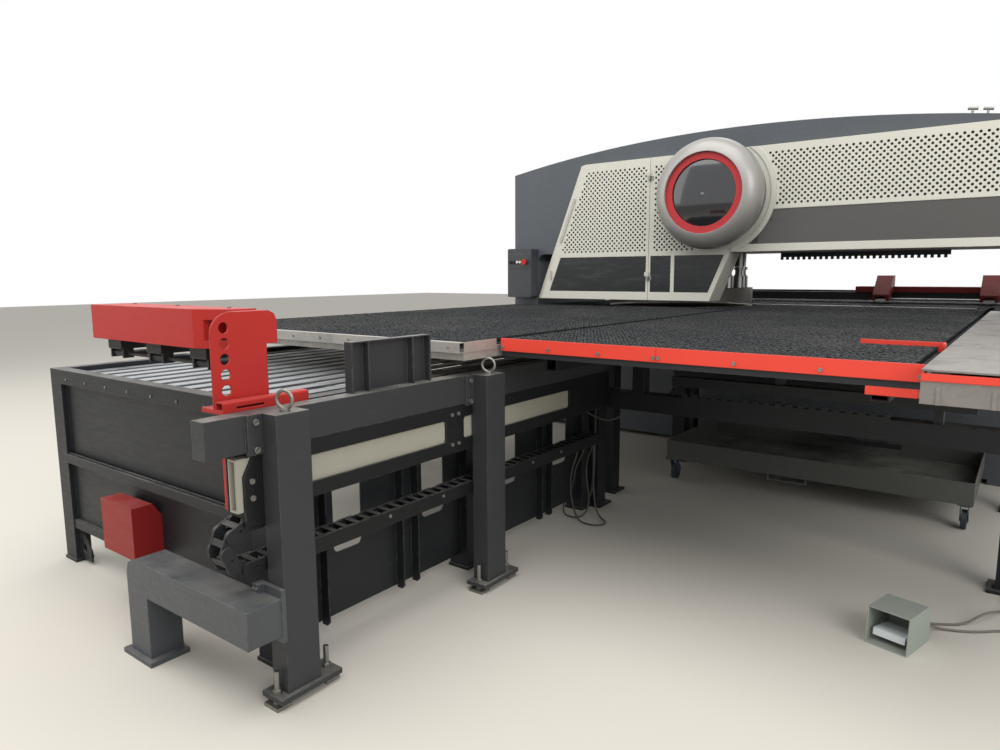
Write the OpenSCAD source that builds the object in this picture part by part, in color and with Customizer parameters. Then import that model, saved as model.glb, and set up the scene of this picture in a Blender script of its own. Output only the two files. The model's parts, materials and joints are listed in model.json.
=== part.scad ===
// Bridge-frame turret punch press with brush tables, a take-out arm on a
// floor rail, a stacking table, a scrap cart and a foot switch.
// X runs along the bridge, Y from front to back and Z up, all in millimetres.
// The origin is on the floor at the middle of the machine's outline.

/* [Bridge] */
// Width of the bridge frame over both legs
bridge_w = 3480; // [3400:10:3600]
// Depth of the bridge frame from front to back
bridge_d = 1100; // [1080:10:1200]
// Height of the crown of the arched top
bridge_h = 2095; // [2060:5:2200]
// Rise of the arch over the ends of the frame
arch_rise = 160; // [100:5:220]
// Width of each leg beside the throat
leg_w = 220; // [180:5:240]
// Height of the throat between its floor and the upper beam
throat_h = 520; // [515:5:560]
// Height of the feet under the frame
foot_h = 30; // [20:1:60]

/* [Turret and ram] */
// Radius of both turret discs
turret_r = 530; // [515:5:540]
// Thickness of the upper disc
upper_disc_t = 100; // [80:5:110]
// Thickness of the lower disc
lower_disc_t = 110; // [80:5:110]
// Gap between the discs where the sheet passes
turret_gap = 30; // [20:1:40]
// Radius of the outer ring of tool stations
outer_row_r = 455; // [440:1:460]
// Radius of the inner ring of tool stations
inner_row_r = 340; // [320:1:350]
// Number of outer tool stations
outer_stations = 18; // [12:1:20]
// Number of inner tool stations
inner_stations = 14; // [8:1:16]
// Radius of an outer punch
punch_r = 24; // [18:1:26]
// Radius of the shafts that carry the discs
turret_shaft_r = 70; // [50:1:90]
// Radius of the ram
ram_r = 44; // [40:1:45]

/* [Front covers] */
// Stand-off of the cover face from the frame
cover_d = 50; // [40:1:70]
// Thickness of the cover sheet
cover_t = 4; // [2:0.5:6]
// Height of the lower edge of the left covers
cover_z0 = 985; // [975:1:995]
// Height of the upper edge of the covers
cover_z1 = 1953; // [1935:1:1960]
// Width of the door over the turret at its foot
door_w = 948; // [900:2:980]
// Diameter of a cover perforation
perf_d = 15; // [10:0.5:20]
// Spacing of the perforations along a row
perf_pitch = 56; // [50:1:70]
// Radius of the round drive cover
badge_r = 345; // [330:1:360]
// Height of the centre of the drive cover
badge_z = 1668; // [1655:1:1680]

/* [Tables] */
// Height of the pass line, the tops of the brushes
table_z = 935; // [925:1:945]
// Height of the brush bristles over the deck
brush_h = 24; // [16:1:30]
// Spacing of the brush rows
brush_pitch = 40; // [36:1:60]
// Width of the centre table behind the red skirt
centre_w = 1358; // [1340:2:1370]
// Distance from the front of the frame to the red skirt
centre_l = 2572; // [2500:4:2640]
// Height of the red skirt
skirt_h = 47; // [40:1:60]
// Width of the left brush table
left_w = 1730; // [1700:5:1735]
// Depth of the rear table behind the frame
rear_l = 1755; // [1700:5:1800]
// Side of the square tubes of the table legs
leg_tube = 80; // [60:1:90]

/* [Take-out rail] */
// Width of the rail beam
beam_w = 58; // [50:1:64]
// Height of the rail beam
beam_h = 100; // [80:1:110]
// Height of the top of the beam and its posts
rail_z = 811; // [805:1:820]
// Width of a post along the rail
post_l = 108; // [90:1:120]
// Width of a post across the rail
post_w = 68; // [60:1:75]
// Distance between the two posts
post_pitch = 885; // [860:5:910]
// Side of the knee frame's tube
knee_tube = 104; // [90:1:110]
// Pitch of the cable chain
chain_pitch = 46; // [44:1:50]
// Height of a cable chain link
link_h = 40; // [34:1:42]

/* [Take-out arm] */
// Reach of the arm from the column
arm_reach = 728; // [650:2:760]
// Depth of the arm box
arm_d = 130; // [110:1:140]
// Height of the arm box
arm_h = 110; // [90:1:112]
// Diameter of the lightening holes in the column plate
arm_hole_d = 30; // [20:0.5:34]
// Spacing of the lightening holes
arm_hole_pitch = 42; // [40:0.5:44]

/* [Stacking table] */
// Width of the stacking table
stack_w = 1440; // [1400:5:1460]
// Length of the stacking table
stack_l = 1850; // [1800:5:1855]
// Width of the post faces
stack_post = 90; // [70:1:100]
// Number of bed slats
stack_slats = 13; // [9:1:15]

/* [Scrap cart] */
// Length of the cart tray
cart_l = 1467; // [1400:1:1480]
// Width of the cart tray
cart_w = 800; // [700:5:820]
// Depth of the cart tray
cart_h = 106; // [80:1:130]
// Radius of a caster wheel
wheel_r = 45; // [38:0.5:46]

/* [Foot switch] */
// Width of the foot switch hood
pedal_w = 126; // [115:1:140]
// Depth of the foot switch hood
pedal_d = 165; // [150:1:180]
// Height of the foot switch hood
pedal_h = 120; // [105:1:135]
// Diameter of the foot switch cord
cord_d = 8; // [7:0.5:9]

/* [Hidden] */

// Running clearance of shafts in their bores, and of flat faces that pass
run_gap = 0.06;
face_gap = 0.3;
eps = 1;

// Bridge frame, with the drive centre at X zero
crown_x = 100;
bridge_x0 = crown_x - bridge_w / 2;
bridge_x1 = crown_x + bridge_w / 2;
frame_y0 = -400;
frame_y1 = frame_y0 + bridge_d;
arch_r = (pow(bridge_w / 2, 2) + pow(arch_rise, 2)) / (2 * arch_rise);
throat_z0 = 800;
throat_z1 = throat_z0 + throat_h;
throat_x0 = bridge_x0 + leg_w;
throat_x1 = bridge_x1 - leg_w;
throat_corner = 60;
foot_side = 260;
comb_h = 50;
comb_t = 12;
comb_pitch = 40;

// Whole machine
rail_y0 = frame_y0 - 3745;
rear_y = frame_y1 + rear_l;
mid_y = (rail_y0 + rear_y) / 2;

// Turret
turret_x = -480;
turret_y = 150;
upper_z0 = table_z + turret_gap;
upper_z1 = upper_z0 + upper_disc_t;
lower_z0 = table_z - lower_disc_t;
hub_r = 150;
foot_ring_r = 200;
shaft_l = 180;
guide_wall = 8;
guide_up = 85;
punch_up = 130;
// Lower ends of the punches over the disc's underside, a sheet clear of the dies when struck
point_lift = 8;
head_t = 20;
head_z = upper_z1 + punch_up + head_t;
die_t = 30;
ram_in = 240;
function station_turn(i, count) = i * 360 / count;

// Covers
cover_y = frame_y0 - cover_d;
seam_gap = 3;
box_w = 222;
door_x0 = bridge_x0 + box_w + 5;
door_x1 = door_x0 + door_w;
door_top_x = door_x0 + 377;
strip_z = 1560;
bevel_w = 62;
window_z0 = 1042;
window_z1 = 1290;
window_lap = 12;
window_t = 3;
perf_z0 = 1330;
perf_z1 = 1905;
middle_x0 = door_x1 + seam_gap;
middle_x1 = 110;
middle_foot_x = -21;
turret_guard_l = 150;
bar_z0 = 1306;
bar_z1 = 1353;
long_z1 = 1564;
right_x1 = bridge_x1 - 60;
band_r = badge_r + 7;
band_w = 32;
band_t = 6;
hinge_r = 8;
hinge_pin_r = 4;
hinge_y = cover_y - hinge_r - 2;
hinge_h = 30;
hinge_zs = [1120, 1800];

// Drive cover on the middle of the bridge
drum_l = 112;
bezel_round = 110;
bezel_in = 250;
lens_r = 205;
lens_rise = 22;

// Control box on the left leg
box_d = 100;
box_z0 = 990;
box_h = 375;
knob_z = 1262;
knob_xs = [for (x = [34, 68, 99, 126, 172]) bridge_x0 + x];
stem_r = 7;
stem_l = 30;
button_travel = 4;
estop_travel = 6;

// Tables
deck_t = 12;
deck_z1 = table_z - brush_h;
deck_z0 = deck_z1 - deck_t;
rim_t = 4;
centre_x0 = 145;
centre_x1 = centre_x0 + centre_w;
centre_y0 = frame_y0 - centre_l;
left_x1 = centre_x0 - 15;
left_x0 = left_x1 - left_w;
left_y0 = centre_y0 - 228;
right_x0 = centre_x1 + 1;
right_tx1 = bridge_x1 - 40;
right_y0 = centre_y0 - 98;
plate_y1 = 180;
wear_t = 5;
strip_y = 478;
strip_l = 30;
channel_h = 38;
channel_w = 26;
skirt_t = 6;
skirt_seam_x = centre_x0 + 0.4536 * centre_w;
skirt_bolt_in = 9;
brush_w = 16;
brush_base = 5;
stand_ys = [-2000, -900];
stand_z1 = 602;
stand_h = 85;
mid_rail_z = 655;
duct_x0 = 840;
duct_w = 375;
duct_y0 = frame_y0 - 500;
duct_z0 = 245;
turret_clear = turret_r + 12;

// Take-out rail, with its near face at beam_x1
beam_x1 = 105;
beam_x0 = beam_x1 - beam_w;
beam_z0 = rail_z - beam_h;
beam_y1 = -2060;
post_x1 = beam_x1 + post_w;
post_y0 = -3985;
post_ys = [post_y0, post_y0 + post_pitch];
post_wall = 5;
base_t = 15;
base_z0 = 22;
floor_plate_t = 10;
stud_r = 8;
guide_t = 8;
guide_z0 = 540;
guide_z1 = beam_z0 - 3;
guide_y0 = -4042;
window_h = 78;
guide_window_z = 585;
window_ys = [for (y = [[180, 799], [894, 1022], [1132, 1622]]) [guide_y0 + y[0], guide_y0 + y[1]]];
splice_ys = [window_ys[0][1] + 28, window_ys[0][1] + 63];
cream_t = 34;
cream_x1 = beam_x1 - guide_t - 1;
cream_x0 = cream_x1 - cream_t;
cream_z0 = 552;
cream_z1 = 696;
linear_zs = [582, 662];
linear_w = 16;
linear_x0 = cream_x0 - linear_w;
tray_x0 = 8;
tray_z0 = 366;
tray_z1 = 413;
tray_t = 3;
knee_x0 = -460;
knee_z1 = 315;
knee_y1 = post_y0 - 12;
knee_y0 = knee_y1 - knee_tube;

// Cable chain
chain_w = 72;
chain_x = 54;
plate_t = 6;
link_end = link_h / 2;
lower_run_z = tray_z0 + tray_t + face_gap + link_h / 2;
bend_y = -4030;
lower_links = 42;
bend_links = 4;
bend_span = chain_pitch / 2 / sin(90 / bend_links);
upper_run_z = lower_run_z + 2 * bend_span;

// Take-out arm
slide_t = 12;
carrier_t = 4;
slide_x1 = linear_x0 - 6;
slide_y0 = -4050;
slide_y1 = -3775;
slide_z0 = 548;
foot_z0 = 806;
foot_t = 12;
column_x0 = -52;
column_y0 = -3968;
column_y1 = -3880;
column_z1 = 1073;
plate_y0 = -4050;
arm_plate_t = 6;
arm_z0 = 967;
arm_y1 = -3872;
arm_y0 = arm_y1 - arm_d;
arm_x0 = column_x0 - arm_reach;
jaw_xs = [-690, -440, -190];
jaw_y = -3955;
jaw_z = 918;
jaw_pin_r = 5;
jaw_w = 70;
guard_y0 = -3643;
guard_y1 = -3291;
guard_h = 158;

// Stacking table
stack_x1 = -14;
stack_x0 = stack_x1 - stack_w;
stack_y0 = -3889;
stack_y1 = stack_y0 + stack_l;
stack_foot = 12;
stack_z0 = 745;
stack_z1 = 802;
stack_rail = 50;
ledge_z1 = 463;
ledge_h = 34;
low_rail_z1 = 182;
fin_z0 = 60;
fin_z1 = 545;
fin_gap = 78;
slat_w = 56;
slat_t = 8;
stack_depth = 60;

// Cross beam and clamp carriage behind the bridge
cross_y0 = 1200;
cross_y1 = 1380;
cross_z0 = table_z + 20;
cross_h = 62;
cross_x0 = bridge_x0 + 60;
cross_x1 = bridge_x1 - 60;
side_rail_w = 30;
side_rail_h = 24;
carriage_x0 = 560;
carriage_x1 = 1540;
clamp_xs = [720, 1400];
clamp_w = 110;
clamp_reach = 230;

// Scrap cart
cart_x0 = 100;
cart_y0 = -1340;
cart_z0 = 2 * wheel_r + 35;
cart_t = 4;
caster_in = 34;
caster_trail = 22;
wheel_w = 26;
axle_r = 6;
swivel_r = 12;
caster_xs = [cart_x0 + caster_in, cart_x0 + cart_l - caster_in];
caster_ys = [cart_y0 + caster_in, cart_y0 + cart_w - caster_in];

// Foot switch, turned on the floor
pedal_x = 1365;
pedal_y = -2672;
pedal_turn = -15;
hood_t = 3;
pivot_y = 112;
pivot_z = 30;
pivot_r = 4;
gland_xs = [70, 101];
gland_l = 12;

// Routes of the two foot switch cords over the floor, in machine coordinates
CORD_1 = [[1479, -2519, 34], [1485, -2496, 33], [1493, -2466, 23],
    [1506, -2438, 12], [1528, -2420, 6], [1552, -2404, 5],
    [1578, -2388, 5], [1602, -2368, 6], [1626, -2342, 12],
    [1648, -2310, 22], [1668, -2276, 26], [1686, -2240, 22],
    [1700, -2204, 13], [1712, -2168, 6], [1720, -2134, 5],
    [1725, -2101, 5]];
CORD_2 = [[1509, -2527, 34], [1515, -2503, 32], [1526, -2477, 22],
    [1542, -2454, 11], [1566, -2440, 6], [1594, -2428, 5],
    [1622, -2414, 5], [1650, -2396, 5], [1676, -2374, 5],
    [1700, -2352, 5], [1724, -2330, 5], [1746, -2311, 5]];
coil_spots = [[1782, -2090], [1800, -2290]];
coil_r = 46;
coil_turns_w = 3;
plug_l = 52;
plug_seat = sqrt(pow(coil_r - coil_turns_w * cord_d / 2, 2) - pow(10, 2));

// Route of the cable that hangs on the table leg, X and Z in one plane
DROP = [[60, 560], [42, 560], [26, 556], [14, 544], [8, 524], [6, 480],
    [5, 400], [4, 320], [2, 240], [-2, 160], [-8, 100], [-18, 60],
    [-34, 34], [-56, 26], [-78, 34], [-92, 56], [-100, 92], [-106, 150],
    [-110, 230], [-112, 310], [-112, 380], [-108, 430], [-98, 460],
    [-82, 478], [-62, 486], [-44, 488]];
drop_r = 6;
drop_y = -2000 - drop_r - face_gap;

// Moves machine coordinates to the stated origin
module place() translate([-crown_x, -mid_y, 0]) children();

// Block between two corners
module block(lo, hi) translate(lo) cube([hi[0] - lo[0], hi[1] - lo[1], hi[2] - lo[2]]);

// Oblong tubes along each axis between two corners
module tube_x(lo, hi, wall) difference() {
    block(lo, hi);
    block([lo[0] - eps, lo[1] + wall, lo[2] + wall], [hi[0] + eps, hi[1] - wall, hi[2] - wall]);
}
module tube_y(lo, hi, wall) difference() {
    block(lo, hi);
    block([lo[0] + wall, lo[1] - eps, lo[2] + wall], [hi[0] - wall, hi[1] + eps, hi[2] - wall]);
}
module tube_z(lo, hi, wall) difference() {
    block(lo, hi);
    block([lo[0] + wall, lo[1] + wall, lo[2] - eps], [hi[0] - wall, hi[1] - wall, hi[2] + eps]);
}

// Extrudes a profile drawn in X and Z from y0 to y1
module along_y(y0, y1) translate([0, y1, 0]) rotate([90, 0, 0]) linear_extrude(y1 - y0) children();

// Extrudes a profile drawn in Y and Z from x0 to x1
module along_x(x0, x1) translate([x0, 0, 0]) rotate([90, 0, 90]) linear_extrude(x1 - x0) children();

module round_rect(lo, hi, r) {
    translate([lo[0] + r, lo[1]]) square([hi[0] - lo[0] - 2 * r, hi[1] - lo[1]]);
    translate([lo[0], lo[1] + r]) square([hi[0] - lo[0], hi[1] - lo[1] - 2 * r]);
    for (x = [lo[0] + r, hi[0] - r], y = [lo[1] + r, hi[1] - r])
        translate([x, y]) circle(r, $fn = 32);
}

// Two round ends joined by straight sides
module stadium(length, r) {
    translate([0, -r]) square([length, 2 * r]);
    for (x = [0, length])
        translate([x, 0]) circle(r, $fn = 24);
}

// Socket head with a hexagon recess, standing on the XY plane
module socket_head(r, h) difference() {
    cylinder(h = h, r = r, $fn = 24);
    translate([0, 0, h / 2]) cylinder(h = h, r = r * 0.55, $fn = 6);
}
module head_y(x, y, z, r, h) translate([x, y, z]) rotate([90, 0, 0]) socket_head(r, h);
module head_x(x, y, z, r, h) translate([x, y, z]) rotate([0, 90, 0]) socket_head(r, h);

// Bridge frame

module arch_outline() difference() {
    intersection() {
        translate([bridge_x0, foot_h]) square([bridge_w, bridge_h - foot_h]);
        translate([crown_x, bridge_h - arch_r]) circle(arch_r, $fn = 720);
    }
    round_rect([throat_x0, throat_z0], [throat_x1, throat_z1], throat_corner);
}

module bridge_frame() place() color("#3b3f43") {
    difference() {
        along_y(frame_y0, frame_y1) arch_outline();
        translate([turret_x, turret_y, throat_z1 - eps])
            cylinder(h = shaft_l + 10, r = turret_shaft_r + run_gap, $fn = 64);
        translate([turret_x, turret_y, throat_z0 - shaft_l])
            cylinder(h = shaft_l + eps, r = turret_shaft_r + run_gap, $fn = 64);
        translate([turret_x + outer_row_r, turret_y, throat_z1 - eps])
            cylinder(h = ram_in + 60, r = ram_r + run_gap, $fn = 64);
    }
    for (x = [bridge_x0, bridge_x1 - foot_side], y = [frame_y0, frame_y1 - foot_side])
        translate([x, y, 0]) cube([foot_side, foot_side, foot_h]);
    comb();
}

// Toothed guard strip under the back edge of the upper beam
module comb() {
    teeth = floor((throat_x1 - 120 - badge_r) / comb_pitch);
    x0 = 110;
    translate([x0, frame_y1 - comb_t, throat_z1 - comb_h * 0.6])
        cube([teeth * comb_pitch, comb_t, comb_h * 0.6]);
    for (i = [0 : teeth - 1])
        translate([x0 + i * comb_pitch, frame_y1 - comb_t, throat_z1 - comb_h])
            cube([comb_pitch / 2, comb_t, comb_h * 0.4]);
}

// Places a child at each tool station but the one under the ram
module other_stations() {
    for (i = [1 : outer_stations - 1])
        rotate(station_turn(i, outer_stations)) translate([outer_row_r, 0, 0]) children(0);
    for (i = [0 : inner_stations - 1])
        rotate(station_turn(i, inner_stations) + 12) translate([inner_row_r, 0, 0]) children(1);
}
module all_stations() {
    translate([outer_row_r, 0, 0]) children(0);
    other_stations() {
        children(0);
        children(1);
    }
}
inner_punch_r = punch_r * 0.7;

module upper_turret() place() color("#8c8f92") translate([turret_x, turret_y, 0]) difference() {
    union() {
        translate([0, 0, upper_z0]) cylinder(h = upper_disc_t, r = turret_r, $fn = 96);
        translate([0, 0, upper_z1])
            cylinder(h = throat_z1 - face_gap - upper_z1, r = hub_r, $fn = 64);
        translate([0, 0, throat_z1 - face_gap - eps])
            cylinder(h = shaft_l, r = turret_shaft_r, $fn = 64);
    }
    translate([0, 0, upper_z0 - eps]) all_stations() {
        cylinder(h = upper_disc_t + 2 * eps, r = punch_r + guide_wall, $fn = 32);
        cylinder(h = upper_disc_t + 2 * eps, r = inner_punch_r + guide_wall, $fn = 32);
    }
}

module lower_turret() place() {
    color("#7d8083") lower_disc();
    color("#a9acaf") dies();
}
module lower_disc() translate([turret_x, turret_y, 0]) difference() {
    union() {
        translate([0, 0, lower_z0]) cylinder(h = lower_disc_t, r = turret_r, $fn = 96);
        translate([0, 0, throat_z0 - shaft_l + 10])
            cylinder(h = lower_z0 - throat_z0 + shaft_l - 10, r = turret_shaft_r, $fn = 64);
        translate([0, 0, throat_z0 + face_gap])
            cylinder(h = lower_z0 - throat_z0 - face_gap, r = foot_ring_r, $fn = 64);
    }
    translate([0, 0, lower_z0 - eps]) all_stations() {
        cylinder(h = lower_disc_t + 2 * eps, r = punch_r + 1, $fn = 32);
        cylinder(h = lower_disc_t + 2 * eps, r = inner_punch_r + 1, $fn = 32);
    }
    translate([0, 0, table_z - die_t]) all_stations() {
        cylinder(h = die_t + eps, r = punch_r + 16, $fn = 32);
        cylinder(h = die_t + eps, r = inner_punch_r + 12, $fn = 32);
    }
}

// One guide sleeve: a spigot through the disc and a collar on top of it
module guide_sleeve(r) difference() {
    union() {
        translate([0, 0, upper_z0 + 6])
            cylinder(h = upper_disc_t - 6, r = r + guide_wall - run_gap, $fn = 32);
        translate([0, 0, upper_z1]) cylinder(h = guide_up, r = r + guide_wall + 6, $fn = 32);
    }
    translate([0, 0, upper_z0]) cylinder(h = upper_disc_t + guide_up + eps, r = r + run_gap, $fn = 32);
}

// One punch, with the head that the ram strikes
module punch(r) {
    translate([0, 0, upper_z0 + point_lift]) cylinder(h = head_z - head_t - upper_z0 - point_lift, r = r, $fn = 32);
    translate([0, 0, head_z - head_t]) cylinder(h = head_t, r = r + 10, $fn = 32);
    translate([0, 0, upper_z1 + guide_up]) cylinder(h = 10, r = r + 5, $fn = 32);
}
module punches() place() color("#c9ccce") translate([turret_x, turret_y, 0]) {
    all_stations() {
        guide_sleeve(punch_r);
        guide_sleeve(inner_punch_r);
    }
    other_stations() {
        punch(punch_r);
        punch(inner_punch_r);
    }
}
module active_punch() place() color("#c9ccce") translate([turret_x + outer_row_r, turret_y, 0]) {
    translate([0, 0, upper_z0 + point_lift]) cylinder(h = head_z - head_t - upper_z0 - point_lift, r = punch_r, $fn = 32);
    translate([0, 0, head_z - head_t]) cylinder(h = head_t, r = punch_r + 10, $fn = 32);
}

module die(r, wall) translate([0, 0, table_z - die_t]) difference() {
    cylinder(h = die_t, r = r + wall, $fn = 32);
    translate([0, 0, -eps]) cylinder(h = die_t + 2 * eps, r = r + 0.4, $fn = 32);
}
module dies() translate([turret_x, turret_y, 0]) all_stations() {
    die(punch_r, 16 - run_gap);
    die(inner_punch_r, 12 - run_gap);
}

module ram() place() color("#b4b7ba") translate([turret_x + outer_row_r, turret_y, head_z + eps]) {
    cylinder(h = throat_z1 - head_z + ram_in, r = ram_r, $fn = 64);
}

// Front covers, drawn in X and Z

// Staggered perforations inside a field given by four limits and a slope
module perforations(x0, x1, z0, z1, slope) {
    rows = floor((z1 - z0) / (perf_pitch / 2));
    for (j = [0 : rows]) {
        z = z0 + j * perf_pitch / 2;
        start = x0 + slope * (z - z0);
        shift = (j % 2) * perf_pitch / 2;
        for (i = [0 : floor((x1 - start - shift) / perf_pitch)])
            translate([x1 - shift - i * perf_pitch, z]) circle(d = perf_d, $fn = 16);
    }
}

// Slope of the door's outer edge, X per Z
door_slope = (door_top_x - door_x0) / (cover_z1 - cover_z0);
function door_edge(z) = door_x0 + door_slope * (z - cover_z0);

module door_opening(grow) polygon([
    [door_edge(window_z0) + bevel_w + 50 - grow, window_z0 - grow],
    [door_x1 - 16 + grow, window_z0 - grow],
    [door_x1 - 16 + grow, window_z1 + grow],
    [door_edge(window_z1) + bevel_w + 50 - grow, window_z1 + grow]]);

module turret_door() place() color("#d8d5c6") {
    difference() {
        door_sheet();
        along_y(cover_y - cover_t, cover_y + 2 * cover_t) {
            door_opening(0);
            perforations(door_edge(perf_z0) + bevel_w + 45, door_x1 - 30, perf_z0, perf_z1, door_slope);
        }
    }
    rim_y0 = cover_y + cover_t;
    rim_y1 = frame_y0 - 2;
    rim_x1 = door_x1 - cover_t;
    block([door_x0 + bevel_w, rim_y0 - cover_t / 2, cover_z0], [rim_x1, rim_y1, cover_z0 + cover_t]);
    block([door_top_x + bevel_w, rim_y0 - cover_t / 2, cover_z1 - cover_t], [rim_x1, rim_y1, cover_z1]);
    block([rim_x1, rim_y0 - cover_t / 2, cover_z0], [door_x1, rim_y1, cover_z1]);
    for (z = hinge_zs)
        difference() {
            union() {
                translate([door_x1, hinge_y, z + hinge_h + face_gap])
                    cylinder(h = hinge_h, r = hinge_r, $fn = 32);
                block([door_x1 - 26, cover_y - 3, z + hinge_h + face_gap],
                    [door_x1, cover_y, z + 2 * hinge_h + face_gap]);
                block([door_x1 - hinge_r + 2, hinge_y, z + hinge_h + face_gap],
                    [door_x1 - 3, cover_y, z + 2 * hinge_h + face_gap]);
            }
            translate([door_x1, hinge_y, z])
                cylinder(h = 3 * hinge_h, r = hinge_pin_r + run_gap, $fn = 32);
        }
}

// One folded sheet: the door's face, and the sloping edge that runs back from it to the frame
module door_sheet() {
    depth = cover_d - 2;
    angle = atan(door_slope);
    length = (cover_z1 - cover_z0) / cos(angle);
    face_w = door_x1 - door_x0;
    translate([door_x0 + bevel_w, cover_y, cover_z0]) intersection() {
        rotate([0, angle, 0]) translate([0, 0, -2 * face_w])
            linear_extrude(length + 4 * face_w)
                polygon([[-bevel_w * cos(angle), depth], [-bevel_w * cos(angle) + cover_t * 1.6, depth],
                    [cover_t, cover_t], [2 * face_w, cover_t], [2 * face_w, 0], [0, 0]]);
        translate([-2 * bevel_w, -1, 0])
            cube([face_w + bevel_w, cover_d, cover_z1 - cover_z0]);
    }
}

module door_window() place() color("#17191b") translate([0, cover_t, 0])
    along_y(cover_y, cover_y + window_t) door_opening(window_lap);

module door_latch() place() color("#77716a") {
    z = 1160;
    translate([door_edge(z) + bevel_w + 18, cover_y, z]) rotate([90, 0, 0])
        linear_extrude(8) round_rect([-8, -34], [8, 34], 7);
    translate([door_edge(strip_z) + bevel_w + 6, cover_y, strip_z]) rotate([0, atan(door_slope), 0])
        rotate([90, 0, 0]) linear_extrude(5) round_rect([-11, -170], [11, 170], 6);
}

// Fixed knuckles and pins that carry the door
module door_hinges() {
    for (z = hinge_zs) {
        translate([door_x1, hinge_y, z]) cylinder(h = hinge_h, r = hinge_r, $fn = 32);
        translate([door_x1, hinge_y, z]) cylinder(h = 2 * hinge_h + face_gap, r = hinge_pin_r, $fn = 32);
        block([door_x1 + hinge_r * 0.5, cover_y - 2, z], [door_x1 + 28, cover_y, z + hinge_h]);
        block([door_x1 + 2, hinge_y, z], [door_x1 + hinge_r - 2, cover_y - 2, z + hinge_h]);
    }
}

module middle_outline() polygon([[middle_x0, cover_z0], [middle_foot_x, cover_z0],
    [middle_x1, bar_z0], [middle_x1, cover_z1], [middle_x0, cover_z1]]);
function middle_edge(z) = middle_foot_x + (z - cover_z0) * (middle_x1 - middle_foot_x) / (bar_z0 - cover_z0);
module middle_openings(grow) {
    translate([middle_x0 + 14 - grow, window_z0 - grow])
        square([150 + 2 * grow, window_z1 - window_z0 + 2 * grow]);
    polygon([[middle_x0 + 190 - grow, window_z0 - grow], [middle_edge(window_z0) - 34 + grow, window_z0 - grow],
        [middle_edge(window_z1) - 34 + grow, window_z1 + grow], [middle_x0 + 190 - grow, window_z1 + grow]]);
}

module middle_cover() place() color("#d8d5c6") {
    along_y(cover_y, cover_y + cover_t) difference() {
        middle_outline();
        middle_openings(0);
        intersection() {
            perforations(middle_x0 + 25, middle_x0 + 25 + 6 * perf_pitch, perf_z0, perf_z1, 0);
            difference() {
                translate([middle_x0, perf_z0 - 20]) square([middle_x1 - middle_x0, perf_z1 - perf_z0 + 40]);
                translate([0, badge_z]) circle(badge_r + 14, $fn = 96);
            }
        }
    }
    along_y(cover_y + cover_t, frame_y0) difference() {
        middle_outline();
        polygon([[middle_x0 + cover_t, cover_z0 + cover_t], [middle_foot_x - cover_t, cover_z0 + cover_t],
            [middle_x1 - 2 * cover_t, bar_z0 + cover_t], [middle_x1 - 2 * cover_t, cover_z1 - cover_t],
            [middle_x0 + cover_t, cover_z1 - cover_t]]);
    }
    along_y(frame_y0, frame_y0 + turret_guard_l) polygon([[middle_foot_x - cover_t, cover_z0],
        [middle_foot_x, cover_z0], [middle_x1, bar_z0], [middle_x1 - 2 * cover_t, bar_z0]]);
}

module fixed_windows() place() color("#17191b") {
    along_y(cover_y + cover_t, cover_y + cover_t + window_t) long_opening(window_lap);
    intersection() {
        along_y(cover_y + cover_t, cover_y + cover_t + window_t) middle_openings(window_lap);
        block([middle_x0 + cover_t, cover_y, window_z0 - window_lap],
            [middle_x0 + 14 + 150 + window_lap, frame_y0, window_z1 + window_lap]);
    }
    intersection() {
        along_y(cover_y + cover_t, cover_y + cover_t + window_t) middle_openings(window_lap);
        block([middle_x0 + 178, cover_y, window_z0 - window_lap],
            [middle_x1, frame_y0, window_z1 + window_lap]);
    }
}

module right_outline() translate([middle_x1 + 1, bar_z0])
    square([right_x1 - middle_x1 - 1, cover_z1 - bar_z0]);
module long_opening(grow) difference() {
    translate([middle_x1 + 20, bar_z1 - grow])
        square([right_x1 - middle_x1 - 70 + grow, long_z1 - bar_z1 + 2 * grow]);
    translate([0, badge_z]) circle(band_r + band_w - grow, $fn = 96);
}

module right_cover() place() color("#d8d5c6") {
    along_y(cover_y, cover_y + cover_t) difference() {
        right_outline();
        long_opening(0);
        difference() {
            perforations(middle_x1 + 150, right_x1 - 60, long_z1 + 62, perf_z1, 0);
            translate([0, badge_z]) circle(band_r + band_w + 4, $fn = 96);
        }
    }
    along_y(cover_y + cover_t, frame_y0) difference() {
        right_outline();
        translate([middle_x1 + 1 + cover_t, bar_z0 + cover_t])
            square([right_x1 - middle_x1 - 1 - 2 * cover_t, cover_z1 - bar_z0 - 2 * cover_t]);
    }
    along_y(cover_y - band_t, cover_y) intersection() {
        difference() {
            translate([0, badge_z]) circle(band_r + band_w, $fn = 96);
            translate([0, badge_z]) circle(band_r, $fn = 96);
        }
        right_outline();
    }
}

// Round drive cover, turned about an axis that points to the front

module facing_front(y) translate([0, y, badge_z]) rotate([90, 0, 0]) children();
bezel_y = cover_y - drum_l;

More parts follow.
